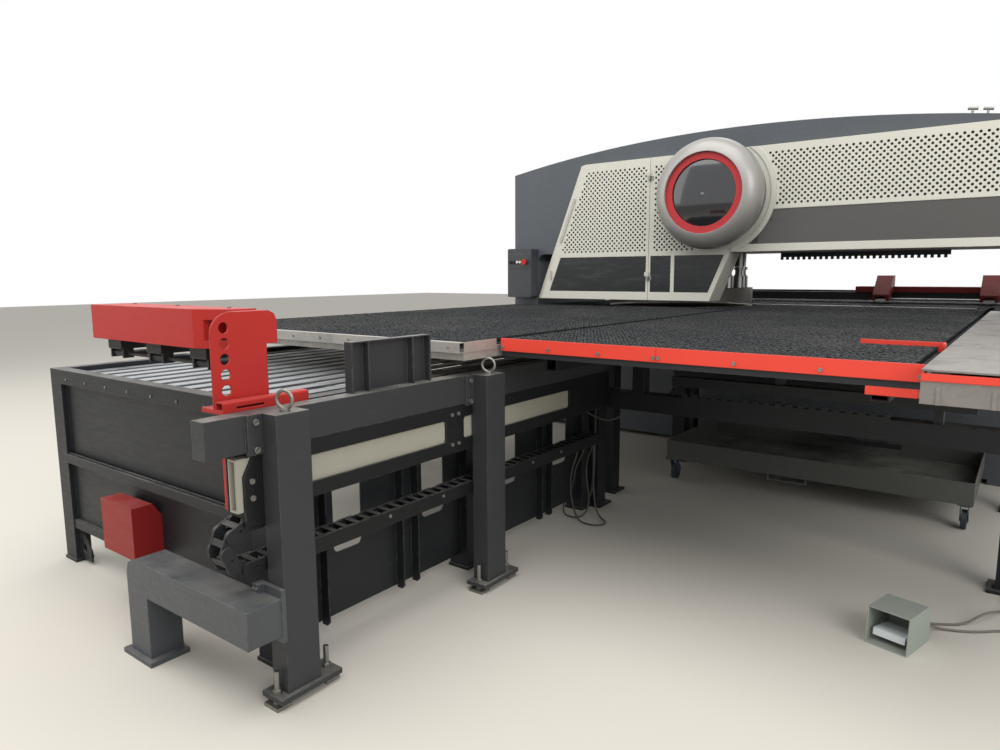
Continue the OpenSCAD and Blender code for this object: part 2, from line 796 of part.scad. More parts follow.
module drive_drum() place() color("#2b2d2f") facing_front(cover_y) {
    cylinder(h = drum_l, r = badge_r - 25, $fn = 96);
    translate([0, 0, drum_l]) cylinder(h = bezel_round * 0.8, r = bezel_in - 4, $fn = 96);
}
module drive_bezel() place() color("#b9babb") facing_front(bezel_y) rotate_extrude($fn = 96)
    intersection() {
        union() {
            translate([badge_r - bezel_round, 20]) circle(bezel_round, $fn = 96);
            translate([0, 0]) square([badge_r, 20]);
        }
        translate([bezel_in, 0]) square([badge_r, bezel_round + 40]);
    }
module drive_ring() place() color("#c8342c") facing_front(bezel_y - bezel_round * 0.8) difference() {
    cylinder(h = 22, r = bezel_in - 0.4, $fn = 96);
    translate([0, 0, -eps]) cylinder(h = 24, r = lens_r + 0.4, $fn = 96);
}
module drive_lens() place() color("#101112") facing_front(bezel_y - bezel_round * 0.8) {
    curve = (pow(lens_r, 2) + pow(lens_rise, 2)) / (2 * lens_rise);
    rotate_extrude($fn = 96) intersection() {
        translate([0, 12 + lens_rise - curve]) circle(curve, $fn = 720);
        square([lens_r, 12 + lens_rise]);
    }
}

// Control box and its switches

box_x0 = bridge_x0;
box_y0 = frame_y0 - box_d;
module switch_bore(x) translate([x, box_y0 + stem_l + button_travel + 6, knob_z]) rotate([90, 0, 0])
    cylinder(h = stem_l + button_travel + 10, r = stem_r + run_gap, $fn = 32);
module switch_stem() cylinder(h = stem_l, r = stem_r, $fn = 32);
module on_panel(x, out) translate([x, box_y0 - out, knob_z]) rotate([90, 0, 0]) children();

module control_box() place() color("#3b3f43") difference() {
    union() {
        along_y(box_y0, frame_y0) round_rect([box_x0, box_z0], [box_x0 + box_w, box_z0 + box_h], 12);
        along_y(box_y0 - 3, box_y0)
            round_rect([box_x0 + 12, knob_z - 50], [box_x0 + box_w - 12, knob_z + 62], 6);
    }
    translate([0, -3, 0]) for (x = knob_xs) switch_bore(x);
}
module estop_knob() place() color("#d0281e") on_panel(knob_xs[4], 3) {
    translate([0, 0, -stem_l + estop_travel + 4]) switch_stem();
    translate([0, 0, estop_travel + 3]) cylinder(h = 12, r = 18, $fn = 48);
    translate([0, 0, estop_travel + 14]) cylinder(h = 10, r = 22, $fn = 48);
}
module push_button(x) on_panel(x, 3) {
    translate([0, 0, -stem_l + button_travel + 4]) switch_stem();
    translate([0, 0, button_travel + 3]) cylinder(h = 7, r = 10, $fn = 32);
}
module push_button_1() place() color("#e6e6e2") push_button(knob_xs[2]);
module push_button_2() place() color("#e6e6e2") push_button(knob_xs[3]);
module selector(x) on_panel(x, 3) {
    translate([0, 0, -stem_l + 4]) switch_stem();
    translate([0, 0, 0.3]) cylinder(h = 8, r = 13, $fn = 32);
    translate([-13, -4, 8]) cube([26, 8, 11]);
}
module selector_1() place() color("#202224") selector(knob_xs[0]);
module selector_2() place() color("#202224") selector(knob_xs[1]);

// Tables

// Deck plate with a rim turned down all round
module deck(x0, x1, y0, y1) {
    block([x0, y0, deck_z0], [x1, y1, deck_z1]);
    rim_z0 = deck_z0 - 30;
    difference() {
        block([x0, y0, rim_z0], [x1, y1, deck_z0]);
        block([x0 + rim_t, y0 + rim_t, rim_z0 - eps], [x1 - rim_t, y1 - rim_t, deck_z0 + eps]);
    }
    ribs = max(2, floor((y1 - y0) / 620));
    for (i = [1 : ribs])
        translate([x0 + rim_t, y0 + i * (y1 - y0) / (ribs + 1) - 3, rim_z0]) cube([x1 - x0 - 2 * rim_t, 6, 30]);
}

module centre_table() place() color("#2d3033") difference() {
    union() {
        deck(centre_x0, centre_x1, centre_y0, frame_y0);
        block([throat_x0 + 4, frame_y0, deck_z0], [throat_x1 - 4, frame_y1, deck_z1]);
        for (x = [throat_x0 + throat_corner, throat_x1 - throat_corner - 60, 700])
            block([x, frame_y0 + 20, throat_z0], [x + 60, frame_y1 - 20, deck_z0]);
    }
    translate([turret_x, turret_y, throat_z0]) cylinder(h = 300, r = turret_clear, $fn = 96);
}

// C section drawn in Y and Z with its back at y zero
module c_section() difference() {
    square([channel_w, channel_h]);
    translate([3, 3]) square([channel_w, channel_h - 6]);
}

module left_table() place() color("#bdbcb2") {
    inner_y0 = left_y0 + channel_w;
    color("#2d3033") deck(left_x0, left_x1 - 1, inner_y0, frame_y0);
    along_x(left_x0, left_x1) translate([left_y0, table_z - channel_h]) c_section();
    translate([left_x1 - 1, 0, 0]) block([0, inner_y0, table_z - channel_h], [3, centre_y0 - 16, table_z]);
    block([-40, strip_y, deck_z1], [centre_x1 - 90, strip_y + strip_l, table_z]);
}

module right_table() place() {
    apron_y = right_y0 + 3;
    color("#2d3033") {
        deck(right_x0, right_tx1, apron_y, frame_y0);
        block([right_x0, apron_y, deck_z0 - 51], [right_tx1, apron_y + rim_t, deck_z0]);
        for (x = [right_x0 + 34, (right_x0 + right_tx1) / 2, right_tx1 - 40])
            block([x, right_y0, deck_z0 - 51], [x + 10, apron_y, deck_z0 - 8]);
    }
    plates = 4;
    plate_l = (frame_y0 - right_y0) / plates;
    color("#b9b8b0") {
        for (i = [0 : plates - 1])
            block([right_x0, right_y0 + i * plate_l, table_z - wear_t],
                [right_tx1 - 6, right_y0 + (i + 1) * plate_l - 3, table_z]);
        for (x = [right_x0 + 20, right_tx1 - 66])
            block([x, right_y0 + 24, deck_z1], [x + 40, frame_y0 - 6, table_z - wear_t]);
        block([right_x0, frame_y0 + 1, deck_z1], [throat_x1 - 8, plate_y1, table_z]);
    }
}

module rear_table() place() color("#2d3033") {
    x0 = throat_x0 + 4;
    x1 = throat_x1 - 4;
    deck(x0, x1, frame_y1, rear_y);
    for (x = [cross_x0 + 10, cross_x1 - 10 - side_rail_w])
        block([x, frame_y1, cross_z0 - 60 - side_rail_h],
            [x + side_rail_w, rear_y, cross_z0 - 60]);
    rear_legs();
    for (y = [frame_y1 + 150, rear_y - 150 - leg_tube]) {
        tube_x([cross_x0 + 10, y, cross_z0 - 60 - side_rail_h - leg_tube],
            [cross_x1 - 10, y + leg_tube, cross_z0 - 60 - side_rail_h], 5);
    }
}
module rear_legs() {
    z1 = cross_z0 - 60 - side_rail_h - leg_tube;
    for (x = [cross_x0 + 10, cross_x1 - 10 - leg_tube, 60], y = [frame_y1 + 150, rear_y - 150 - leg_tube]) {
        tube_z([x, y, 12], [x + leg_tube, y + leg_tube, z1], 5);
        block([x - 25, y - 25, 0], [x + leg_tube + 25, y + leg_tube + 25, 12]);
    }
}

// Brush rows that run across the travel of the sheet
module brush_mat(x0, x1, y0, y1) {
    rows = floor((y1 - y0 - brush_w) / brush_pitch);
    block([x0, y0, deck_z1], [x1, y1, deck_z1 + brush_base]);
    for (i = [0 : rows])
        translate([x0, y0 + i * brush_pitch, deck_z1 + brush_base - 0.01])
            cube([x1 - x0, brush_w, brush_h - brush_base + 0.01]);
}
module brush_mats() place() color("#1d1e20") {
    brush_mat(centre_x0 + 8, centre_x1 - 2, centre_y0 + 8, frame_y0 - 8);
    brush_mat(left_x0 + 6, left_x1 - 8, left_y0 + channel_w + 4, frame_y0 - 8);
    difference() {
        union() {
            brush_mat(throat_x0 + 12, centre_x1 - 2, frame_y0 + 4, strip_y - 1);
            brush_mat(throat_x0 + 12, centre_x1 - 2, strip_y + strip_l + 1, frame_y1 - 4);
        }
        translate([turret_x, turret_y, throat_z0]) cylinder(h = 300, r = turret_clear + 4, $fn = 96);
    }
    brush_mat(centre_x1 + 2, throat_x1 - 12, plate_y1 + 8, frame_y1 - 4);
    brush_mat(throat_x0 + 12, throat_x1 - 12, frame_y1 + 8, rear_y - 8);
}

// Red skirt along the front of the centre table, in two lengths, and the other red pieces of the tables
module red_skirt() place() color("#e0402e") {
    block([right_x0, right_y0 - 1, deck_z1 - 5], [right_tx1, right_y0 + 3, deck_z1 + 14]);
    block([centre_x1 - 137, centre_y0, deck_z0 - 54], [centre_x1 - 12, centre_y0 + 110, deck_z0 - 30]);
    gap_y = centre_y0 + 8 + 14 * brush_pitch - brush_w;
    block([centre_x1 - 252, gap_y, deck_z1 + brush_base], [centre_x1 - 3, gap_y + 6, table_z + 13]);
    block([centre_x1 - 9, gap_y - 60, table_z], [centre_x1 - 3, gap_y, table_z + 13]);
    z1 = table_z + 1;
    block([centre_x0, centre_y0 - skirt_t, z1 - skirt_h], [skirt_seam_x - 0.5, centre_y0, z1]);
    block([skirt_seam_x + 0.5, centre_y0 - skirt_t, z1 - skirt_h], [centre_x1, centre_y0, z1]);
}

// Legs and cross beams under the front tables
module table_stand() place() color("#25282b") {
    z1 = stand_z1;
    z0 = z1 - stand_h;
    top = deck_z0 - 30;
    x_ends = [-60, right_tx1 - 40 - leg_tube];
    for (y = stand_ys) {
        tube_x([x_ends[0], y, z0], [x_ends[1] + leg_tube, y + leg_tube, z1], 5);
        for (x = x_ends) {
            tube_z([x, y, 12], [x + leg_tube, y + leg_tube, z0], 5);
            block([x - 25, y - 20, 0], [x + leg_tube + 25, y + leg_tube + 20, 12]);
        }
        for (x = [200, x_ends[1]])
            tube_z([x, y, z1], [x + 60, y + 60, top - 60], 5);
        for (x = [858, 1443])
            tube_z([x, y + 12, z1], [x + 32, y + 60, top - 60], 5);
        tube_x([centre_x0, y, top - 60], [right_tx1, y + 60, top], 5);
    }
    mid_rail(stand_ys[0], z1);
    along_x(duct_x0, duct_x0 + duct_w) duct_section();
    for (x = [260, 1360])
        tube_y([x, centre_y0 + 120, top - 60], [x + 50, stand_ys[0], top], 5);
    left_stand(top);
}
// Middle rail of the front stand, with a gusset at its end, and the toothed cable strip on the beam
module mid_rail(y, z1) {
    x0 = 400;
    tube_x([x0, y, mid_rail_z], [1580, y + 44, mid_rail_z + 44], 4);
    along_y(y + 20, y + 26) polygon([[x0 - 26, z1], [x0 + 14, z1], [x0 + 14, mid_rail_z], [x0 + 2, mid_rail_z]]);
    block([x0 + 50, y, z1], [x0 + 900, y + 8, z1 + 10]);
    for (i = [0 : 18])
        block([x0 + 50 + i * 46, y, z1 + 10], [x0 + 74 + i * 46, y + 8, z1 + 22]);
}

// Scrap duct on the frame above the cart, drawn in Y and Z
module duct_section() polygon([[duct_y0, duct_z0], [duct_y0, duct_z0 + 27], [duct_y0 + 22, duct_z0 + 42],
    [frame_y0, duct_z0 + 42], [frame_y0, duct_z0 + 38], [duct_y0 + 24, duct_z0 + 38],
    [duct_y0 + 4, duct_z0 + 25], [duct_y0 + 4, duct_z0]]);
module left_stand(top) {
    xs = [left_x0 + 10, left_x1 - 240];
    for (y = [-1750, -620]) {
        for (x = xs) {
            tube_z([x, y, 12], [x + leg_tube, y + leg_tube, top - leg_tube], 5);
            block([x - 10, y - 20, 0], [x + leg_tube + 25, y + leg_tube + 20, 12]);
        }
        tube_x([left_x0, y, top - leg_tube], [left_x1 - 1, y + leg_tube, top], 5);
    }
}

// Take-out rail

module rail_beam() place() color("#33363a") {
    tube_y([beam_x0, rail_y0 + 5, beam_z0], [beam_x1, beam_y1, rail_z], 5);
    block([beam_x0, rail_y0, beam_z0], [beam_x1, rail_y0 + 5, rail_z]);
    for (y = post_ys)
        block([beam_x1, y - 46, beam_z0 - 8], [beam_x1 + 10, y, rail_z]);
    guard();
}

// Upright stop panel on top of the beam, with a folded top edge and four ribs
module guard() {
    x0 = beam_x0 + 2;
    x1 = beam_x0 + 34;
    z1 = rail_z + guard_h;
    block([x0, guard_y0, rail_z], [x0 + 6, guard_y1, z1]);
    block([x0, guard_y0, z1 - 4], [x1, guard_y1, z1]);
    for (y = [guard_y0, guard_y0 + 68, guard_y1 - 88, guard_y1 - 6])
        block([x0, y, rail_z], [x1, y + 6, z1 - 4]);
}

// One post on its base plate, studs and floor plate
module rail_post(y) {
    difference() {
        block([beam_x1, y, base_z0 + base_t], [post_x1, y + post_l, rail_z]);
        block([beam_x1 + post_wall, y + post_wall, base_z0 + base_t - eps],
            [post_x1 - post_wall, y + post_l - post_wall, rail_z - 6]);
    }
    base_x0 = beam_x1 - 8;
    base_x1 = post_x1 + 12;
    mid_px = (base_x0 + base_x1) / 2;
    stud_ys = [y - 14, y + post_l + 46];
    difference() {
        block([base_x0, y - 32, base_z0], [base_x1, y + post_l + 68, base_z0 + base_t]);
        for (s = stud_ys)
            translate([mid_px, s, 0]) cylinder(h = 100, r = stud_r + face_gap, $fn = 24);
    }
}
module post_feet(y) {
    mid_px = (beam_x1 - 8 + post_x1 + 12) / 2;
    for (s = [y - 14, y + post_l + 46]) {
        translate([mid_px, s, floor_plate_t]) cylinder(h = base_z0 - floor_plate_t, r = 13, $fn = 6);
        translate([mid_px, s, base_z0 - eps]) cylinder(h = 80, r = stud_r, $fn = 24);
        translate([mid_px, s, base_z0 + base_t]) cylinder(h = 12, r = 13, $fn = 6);
        translate([mid_px, s, 0]) translate([-30, -24, 0]) cube([60, 48, floor_plate_t]);
    }
}
module eyebolt(x, y) translate([x, y, rail_z]) {
    cylinder(h = 8, r = 14, $fn = 32);
    translate([0, 0, 8 + 24]) rotate([90, 0, 20]) rotate_extrude($fn = 48)
        translate([24, 0]) circle(5, $fn = 16);
}
module rail_posts() place() color("#33363a") {
    for (y = post_ys)
        rail_post(y);
}

// Guide plate with long windows, and the tray that the cable chain lies in
module guide_plate() place() color("#2c2f33") {
    along_x(cream_x1, beam_x1 - 1) difference() {
        polygon([[guide_y0, guide_z0 - 30], [guide_y0 + 100, guide_z0 - 30], [guide_y0 + 140, guide_z0],
            [beam_y1, guide_z0], [beam_y1, guide_z1], [guide_y0 + 34, guide_z1], [guide_y0, guide_z1 - 60]]);
        for (w = window_ys)
            round_rect([w[0], guide_window_z], [w[1], guide_window_z + window_h], 12);
    }
    block([cream_x1 - 10, guide_y0 + 60, guide_z1], [beam_x1 - 1, beam_y1, beam_z0]);
    chain_tray();
}

// Pale guide bar behind the plate, with the linear rails on its back
module guide_bar() place() {
    color("#c9c7b4") difference() {
        block([cream_x0, guide_y0 - 18, cream_z0], [cream_x1, beam_y1 + 2, cream_z1]);
        block([cream_x0 + 6, guide_y0 - 19, cream_z0 + 6], [cream_x1 - 6, beam_y1 + 3, cream_z1 - 6]);
    }
    color("#a7aaad") for (z = linear_zs)
        block([linear_x0, guide_y0 - 6, z], [cream_x0, beam_y1, z + linear_w]);
}
module chain_tray() {
    y0 = -3870;
    y1 = -2070;
    block([tray_x0, y0, tray_z0], [beam_x1 - 5, y1, tray_z0 + tray_t]);
    block([beam_x1 - 5 - tray_t, y0, tray_z0 + tray_t], [beam_x1 - 5, y1, tray_z1]);
    for (y = post_ys)
        block([beam_x1 - 5, y + 30, tray_z0], [beam_x1, y + 70, tray_z1 - 4]);
}

// Tube bent at a knee that props the first post
module knee_frame() place() color("#45494e") {
    x1 = post_x1;
    z0 = knee_z1 - knee_tube;
    leg_x1 = knee_x0 + knee_tube + 11;
    along_y(knee_y0, knee_y1) polygon([[knee_x0, 15], [leg_x1, 15], [leg_x1, z0], [x1, z0],
        [x1, knee_z1], [knee_x0 + 42, knee_z1], [knee_x0 + 12, knee_z1 - 14], [knee_x0, knee_z1 - 44]]);
    block([knee_x0 - 28, knee_y0 - 14, 0], [leg_x1 + 24, knee_y1 + 6, 15]);
    block([beam_x1 - 6, knee_y1, z0 - 20], [x1 + 5, post_y0, knee_z1 + 26]);
    block([beam_x1 - 34, knee_y1 - 16, knee_z1], [beam_x1 - 6, post_y0, knee_z1 + 26]);
}

// Cable chain: links with plates side by side at each joint

module chain_link(index) {
    inset = (index % 2) * (plate_t + face_gap);
    half = chain_w / 2 - inset;
    for (side = [0, 1])
        mirror([side, 0, 0]) translate([half - plate_t, 0, 0]) rotate([90, 0, 90])
            linear_extrude(plate_t) difference() {
                stadium(chain_pitch, link_end - 1);
                translate([chain_pitch / 2, 0]) circle(5, $fn = 16);
            }
    for (z = [-link_end + 2, link_end - 6])
        translate([-half + plate_t - 0.01, chain_pitch / 2 - 9, z])
            cube([2 * (half - plate_t) + 0.02, 18, 4]);
}
module cable_chain() place() color("#17181a") translate([chain_x, bend_y, lower_run_z]) {
    for (i = [0 : lower_links - 1])
        translate([0, i * chain_pitch, 0]) chain_link(i);
    step = 180 / bend_links;
    span = bend_span;
    for (i = [0 : bend_links - 1])
        translate([0, 0, span]) rotate([-i * step, 0, 0]) translate([0, 0, -span]) rotate([-step / 2, 0, 0])
            mirror([0, 1, 0]) chain_link(i + 1);
    translate([0, 0, 2 * span]) chain_link(bend_links + 1);
}

// Dark pieces that ride with the take-out arm: the carrier of the blocks on the linear rails, and the grippers
module arm_slide() place() color("#26282a") {
    block([slide_x1 - carrier_t, slide_y0, slide_z0], [slide_x1, slide_y1, foot_z0]);
    for (z = linear_zs, y = [slide_y0 + 20, slide_y1 - 100])
        difference() {
            block([slide_x1, y, z - 14], [cream_x0 - 2, y + 80, z + linear_w + 14]);
            block([linear_x0 - face_gap, y - eps, z - face_gap], [cream_x0, y + 81, z + linear_w + face_gap]);
        }
    block([slide_x1 - slide_t, slide_y0 + 16, upper_run_z + link_end - 1 + face_gap],
        [slide_x1 + 40, slide_y0 + 66, slide_z0]);
    gripper_bodies();
}

module take_out_arm() place() color("#d23b30") {
    z0 = foot_z0 + foot_t;
    x1 = 0;
    plate_x1 = slide_x1 - carrier_t;
    block([plate_x1 - slide_t, slide_y0, slide_z0], [plate_x1, slide_y1, foot_z0]);
    block([column_x0 - 10, slide_y0, foot_z0], [slide_x1, slide_y1, z0]);
    foot_channel(z0);
    along_x(x1 - arm_plate_t, x1) difference() {
        union() {
            translate([plate_y0, z0]) square([column_y0 - plate_y0, column_z1 - 60 - z0]);
            translate([plate_y0 + 60, column_z1 - 60]) square([column_y0 - plate_y0 - 60, 60]);
            intersection() {
                translate([plate_y0 + 60, column_z1 - 60]) circle(60, $fn = 64);
                translate([plate_y0, column_z1 - 60]) square([60, 60]);
            }
        }
        for (i = [0 : 4])
            translate([plate_y0 + 40, 864 + i * arm_hole_pitch]) circle(d = arm_hole_d, $fn = 32);
    }
    along_x(column_x0, x1) polygon([[column_y0, z0], [column_y1, z0], [column_y1, 980],
        [column_y1 + 36, 980], [column_y1 + 36, column_z1 - 26], [column_y1 + 28, column_z1 - 8],
        [column_y1 + 10, column_z1], [column_y0, column_z1]]);
    difference() {
        translate([0, 0, arm_z0]) linear_extrude(arm_h)
            polygon([[arm_x0, arm_y0], [column_x0 - 113, arm_y0], [column_x0, arm_y0 + 50],
                [column_x0, arm_y1], [arm_x0 + 12, arm_y1], [arm_x0, arm_y1 - 12]]);
        block([column_x0 - 82, arm_y0 - eps, arm_z0 + 22], [column_x0 - 8, arm_y1 - 34, arm_z0 + 80]);
    }
}

// Folded channel along the foot, with two slots on top and one along its lower edge
module foot_channel(z0) difference() {
    along_y(slide_y0, slide_y1) difference() {
        round_rect([4, z0 - 8], [slide_x1, z0 + 22], 7);
        translate([8, z0]) square([slide_x1 - 12, 18]);
    }
    for (y = [slide_y0 + 157, slide_y0 + 218])
        block([10, y, z0 + 17], [20, y + 13, z0 + 23]);
    block([slide_x1 - 6, slide_y0 + 40, z0], [slide_x1 + eps, slide_y0 + 125, z0 + 6]);
}

// Upper jaws and cheeks of the grippers under the arm
module gripper_bodies() for (x = jaw_xs) difference() {
    union() {
        block([x - jaw_w / 2 - 8, jaw_y - 22, jaw_z + 16], [x + jaw_w / 2 + 8, arm_y1 + 18, arm_z0]);
        block([x - jaw_w / 2 - 8, jaw_y - 16, jaw_z - 14], [x + jaw_w / 2 + 8, jaw_y + 18, arm_z0]);
    }
    translate([x - jaw_w, jaw_y, jaw_z]) rotate([0, 90, 0])
        cylinder(h = 2 * jaw_w, r = jaw_pin_r + run_gap, $fn = 32);
    translate([x - jaw_w / 2 - 0.5, jaw_y - 40, jaw_z - 30]) cube([jaw_w + 1, 200, 44]);
}

// Lower jaws on their pins, joined by the shaft that opens them together
module gripper_jaws() place() color("#26282a") {
    translate([jaw_xs[0] - jaw_w / 2 - 12, jaw_y, jaw_z]) rotate([0, 90, 0])
        cylinder(h = jaw_xs[2] - jaw_xs[0] + jaw_w + 24, r = jaw_pin_r, $fn = 32);
    for (x = jaw_xs) {
        translate([x - jaw_w / 2 + 1, jaw_y, jaw_z]) rotate([0, 90, 0])
            cylinder(h = jaw_w - 2, r = 11, $fn = 32);
        block([x - jaw_w / 2 + 1, jaw_y, jaw_z - 9], [x + jaw_w / 2 - 1, arm_y1 + 16, jaw_z + 3]);
    }
}

// Stacking table

module stacking_table() place() {
    color("#33363a") stack_posts();
    color("#3f4246") stack_rails();
    color("#26292c") stack_panels();
}
function stack_post_ys() = [stack_y0, stack_y0 + (stack_l - stack_depth) / 2, stack_y1 - stack_depth];
module stack_posts() {
    for (x = [stack_x0, stack_x1 - stack_post], y = stack_post_ys()) {
        tube_z([x, y, stack_foot], [x + stack_post, y + stack_depth, stack_z0], 5);
        block([x - 5, y - 5, 0], [x + stack_post + 5, y + stack_depth + 5, stack_foot]);
    }
    along_y(stack_y0 + 20, stack_y0 + 28) difference() {
        polygon([[stack_x0 + stack_post, stack_foot], [stack_x0 + stack_post + 90, stack_foot],
            [stack_x0 + stack_post + 90, 60], [stack_x0 + stack_post, 150]]);
        translate([stack_x0 + stack_post + 34, 62]) circle(20, $fn = 32);
    }
}
module stack_rails() {
    x0 = stack_x0;
    x1 = stack_x1;
    for (y = [stack_y0, stack_y1 - stack_rail])
        tube_x([x0, y, stack_z0], [x1, y + stack_rail, stack_z1], 4);
    for (x = [x0, x1 - stack_rail])
        tube_y([x, stack_y0 + stack_rail, stack_z0], [x + stack_rail, stack_y1 - stack_rail, stack_z1], 4);
    for (i = [1 : 3])
        tube_x([x0 + stack_rail, stack_y0 + i * stack_l / 4 - 20, stack_z0],
            [x1 - stack_rail, stack_y0 + i * stack_l / 4 + 20, stack_z0 + 30], 4);
    along_x(x0 + stack_post, x1 - stack_post) difference() {
        translate([stack_y0 - 12, ledge_z1 - ledge_h]) square([50, ledge_h]);
        translate([stack_y0 - 2, ledge_z1 - 6]) square([8, 7]);
        translate([stack_y0 + 14, ledge_z1 - 6]) square([8, 7]);
    }
    along_x(x0 + stack_post, x1 - stack_post)
        translate([stack_y0 + 4, low_rail_z1 - 34]) square([34, 34]);
}
module stack_panels() {
    x0 = stack_x0 + stack_post;
    x1 = stack_x1 - stack_post;
    y = stack_y0 + 20;
    block([x0, y, ledge_z1], [x1, y + 3, stack_z0]);
    block([x0, y, low_rail_z1], [x1, y + 3, ledge_z1 - ledge_h]);
    ys = stack_post_ys();
    for (i = [0, 1]) {
        y0 = ys[i] + stack_depth;
        l = ys[i + 1] - y0;
        along_x(stack_x1 - 40, stack_x1 - 36) difference() {
            translate([y0, fin_z0]) square([l, stack_z0 - fin_z0]);
            for (k = [0, 1])
                round_rect([y0 + (k + 0.5) * l / 2 - 10, fin_z0 + 210], [y0 + (k + 0.5) * l / 2 + 110, 570], 20);
        }
        for (k = [0, 1], d = [0, fin_gap])
            along_y(y0 + (k + 0.15) * l / 2 + d, y0 + (k + 0.15) * l / 2 + d + 5)
                polygon([[stack_x1 - 36, fin_z0 - 10], [stack_x1 - 12, fin_z0 - 10], [stack_x1, fin_z0 + 2],
                    [stack_x1, fin_z1], [stack_x1 - 36, fin_z1]]);
    }
}

// Slats that carry the stack of sheets
module stack_bed() place() color("#9fa3a5") {
    x0 = stack_x0 + stack_rail + 12;
    pitch = (stack_w - 2 * stack_rail - 24 - slat_w) / (stack_slats - 1);
    for (i = [0 : stack_slats - 1])
        block([x0 + i * pitch, stack_y0 + stack_rail + 8, stack_z0 + 30],
            [x0 + i * pitch + slat_w, stack_y1 - stack_rail - 8, stack_z0 + 30 + slat_t]);
}

module junction_box() place() color("#c9352b") {
    x0 = -900;
    w = 222;
    z0 = 200;
    h = 186;
    d = 104;
    y1 = stack_y0 + 20;
    along_x(x0, x0 + w) polygon([[y1 - d, z0], [y1, z0 - 12], [y1, z0 + h - 46],
        [y1 - 30, z0 + h], [y1 - d, z0 + h]]);
}

// Cross beam, clamp carriage and its clamps behind the bridge

module cross_beam() place() color("#2a2d30") {
    block([cross_x0, cross_y0, cross_z0], [cross_x1, cross_y1, cross_z0 + cross_h]);
    for (x = [cross_x0, cross_x1 - side_rail_w - 20])
        difference() {
            block([x, cross_y0 - 30, cross_z0 - 58 - side_rail_h],
                [x + side_rail_w + 20, cross_y1 + 30, cross_z0]);
            block([x + 10 - face_gap, cross_y0 - 31, cross_z0 - 61 - side_rail_h],
                [x + 10 + side_rail_w + face_gap, cross_y1 + 31, cross_z0 - 60 + face_gap]);
        }
    block([cross_x0 + 60, cross_y0 + 70, cross_z0 + cross_h],
        [cross_x1 - 60, cross_y0 + 100, cross_z0 + cross_h + 14]);
}

module clamp_carriage() place() color("#34373a") {
    z0 = cross_z0 + cross_h + face_gap;
    difference() {
        block([carriage_x0, cross_y0 - 10, z0], [carriage_x1, cross_y1, z0 + 44]);
        block([carriage_x0 - eps, cross_y0 + 70 - face_gap, z0 - eps],
            [carriage_x1 + eps, cross_y0 + 100 + face_gap, z0 + 14 + face_gap]);
    }
    color("#a8342e") for (x = clamp_xs)
        difference() {
            along_x(x, x + clamp_w) polygon([[cross_y0 - clamp_reach, table_z + 22],
                [cross_y0 - clamp_reach + 120, table_z + 22], [cross_y0 - 84, z0],
                [cross_y0 - 10, z0], [cross_y0 - 10, z0 + 44], [cross_y0 + 30, z0 + 44],
                [cross_y0 + 30, z0 + 130], [cross_y0 - 70, z0 + 130], [cross_y0 - clamp_reach, table_z + 70]]);
            translate([x - eps, cross_y0 - clamp_reach + 96, table_z + 34]) rotate([0, 90, 0])
                cylinder(h = clamp_w + 2 * eps, r = 8 + run_gap, $fn = 32);
            block([x + 20, cross_y0 - clamp_reach - eps, table_z], [x + clamp_w - 20, cross_y0 - 110, table_z + 54]);
        }
}

// Lower jaws of the work clamps on the shaft that closes them
module clamp_jaws() place() color("#8f9296") {
    y = cross_y0 - clamp_reach + 96;
    translate([clamp_xs[0] + 2, y, table_z + 34]) rotate([0, 90, 0])
        cylinder(h = clamp_xs[1] - clamp_xs[0] + clamp_w - 4, r = 8, $fn = 32);
    for (x = clamp_xs) {
        translate([x + 21, y, table_z + 34]) rotate([0, 90, 0]) cylinder(h = clamp_w - 42, r = 15, $fn = 32);
        block([x + 21, cross_y0 - clamp_reach + 2, table_z + 20], [x + clamp_w - 21, y, table_z + 34]);
    }
}

// Scrap cart

module cart_tray() place() color("#6c7068") {
    x1 = cart_x0 + cart_l;
    y1 = cart_y0 + cart_w;
    z1 = cart_z0 + cart_h;
    difference() {
        block([cart_x0, cart_y0, cart_z0], [x1, y1, z1]);
        block([cart_x0 + cart_t, cart_y0 + cart_t, cart_z0 + cart_t], [x1 - cart_t, y1 - cart_t, z1 + eps]);
    }
    for (x = caster_xs, y = caster_ys)
        translate([x - 30, y - 30, cart_z0 - 6]) difference() {
            cube([60, 60, 6]);
            translate([30, 30, -eps]) cylinder(h = 8, r = swivel_r + run_gap, $fn = 32);
        }
    hx = [cart_x0 + 560, cart_x0 + 750];
    for (x = hx)
        translate([x, cart_y0 + 14, cart_z0 - 34]) cylinder(h = 34, r = 5, $fn = 24);
    translate([hx[0], cart_y0 + 14, cart_z0 - 30]) rotate([0, 90, 0]) cylinder(h = hx[1] - hx[0], r = 5, $fn = 24);
}

// Caster fork with its swivel stem and axle
module cart_fork(x, y) translate([x, y, 0]) color("#4a5b73") {
    z1 = cart_z0 - 6 - face_gap;
    translate([0, 0, z1 - 4]) cylinder(h = 4, r = 26, $fn = 32);
    translate([0, 0, z1 - 4]) cylinder(h = 9, r = swivel_r, $fn = 32);
    for (side = [-1, 1])
        translate([side * (wheel_w / 2 + 3) - 1.5, 0, 0]) rotate([90, 0, 90]) linear_extrude(3)
            polygon([[-24, z1 - 4], [24, z1 - 4], [caster_trail + 12, wheel_r],
                [caster_trail + 6, wheel_r - 12], [caster_trail - 8, wheel_r - 12]]);
    translate([-wheel_w / 2 - 6, caster_trail, wheel_r]) rotate([0, 90, 0])
        cylinder(h = wheel_w + 12, r = axle_r, $fn = 32);
}
module cart_fork_1() place() cart_fork(caster_xs[0], caster_ys[0]);
module cart_fork_2() place() cart_fork(caster_xs[1], caster_ys[0]);
module cart_fork_3() place() cart_fork(caster_xs[0], caster_ys[1]);
module cart_fork_4() place() cart_fork(caster_xs[1], caster_ys[1]);

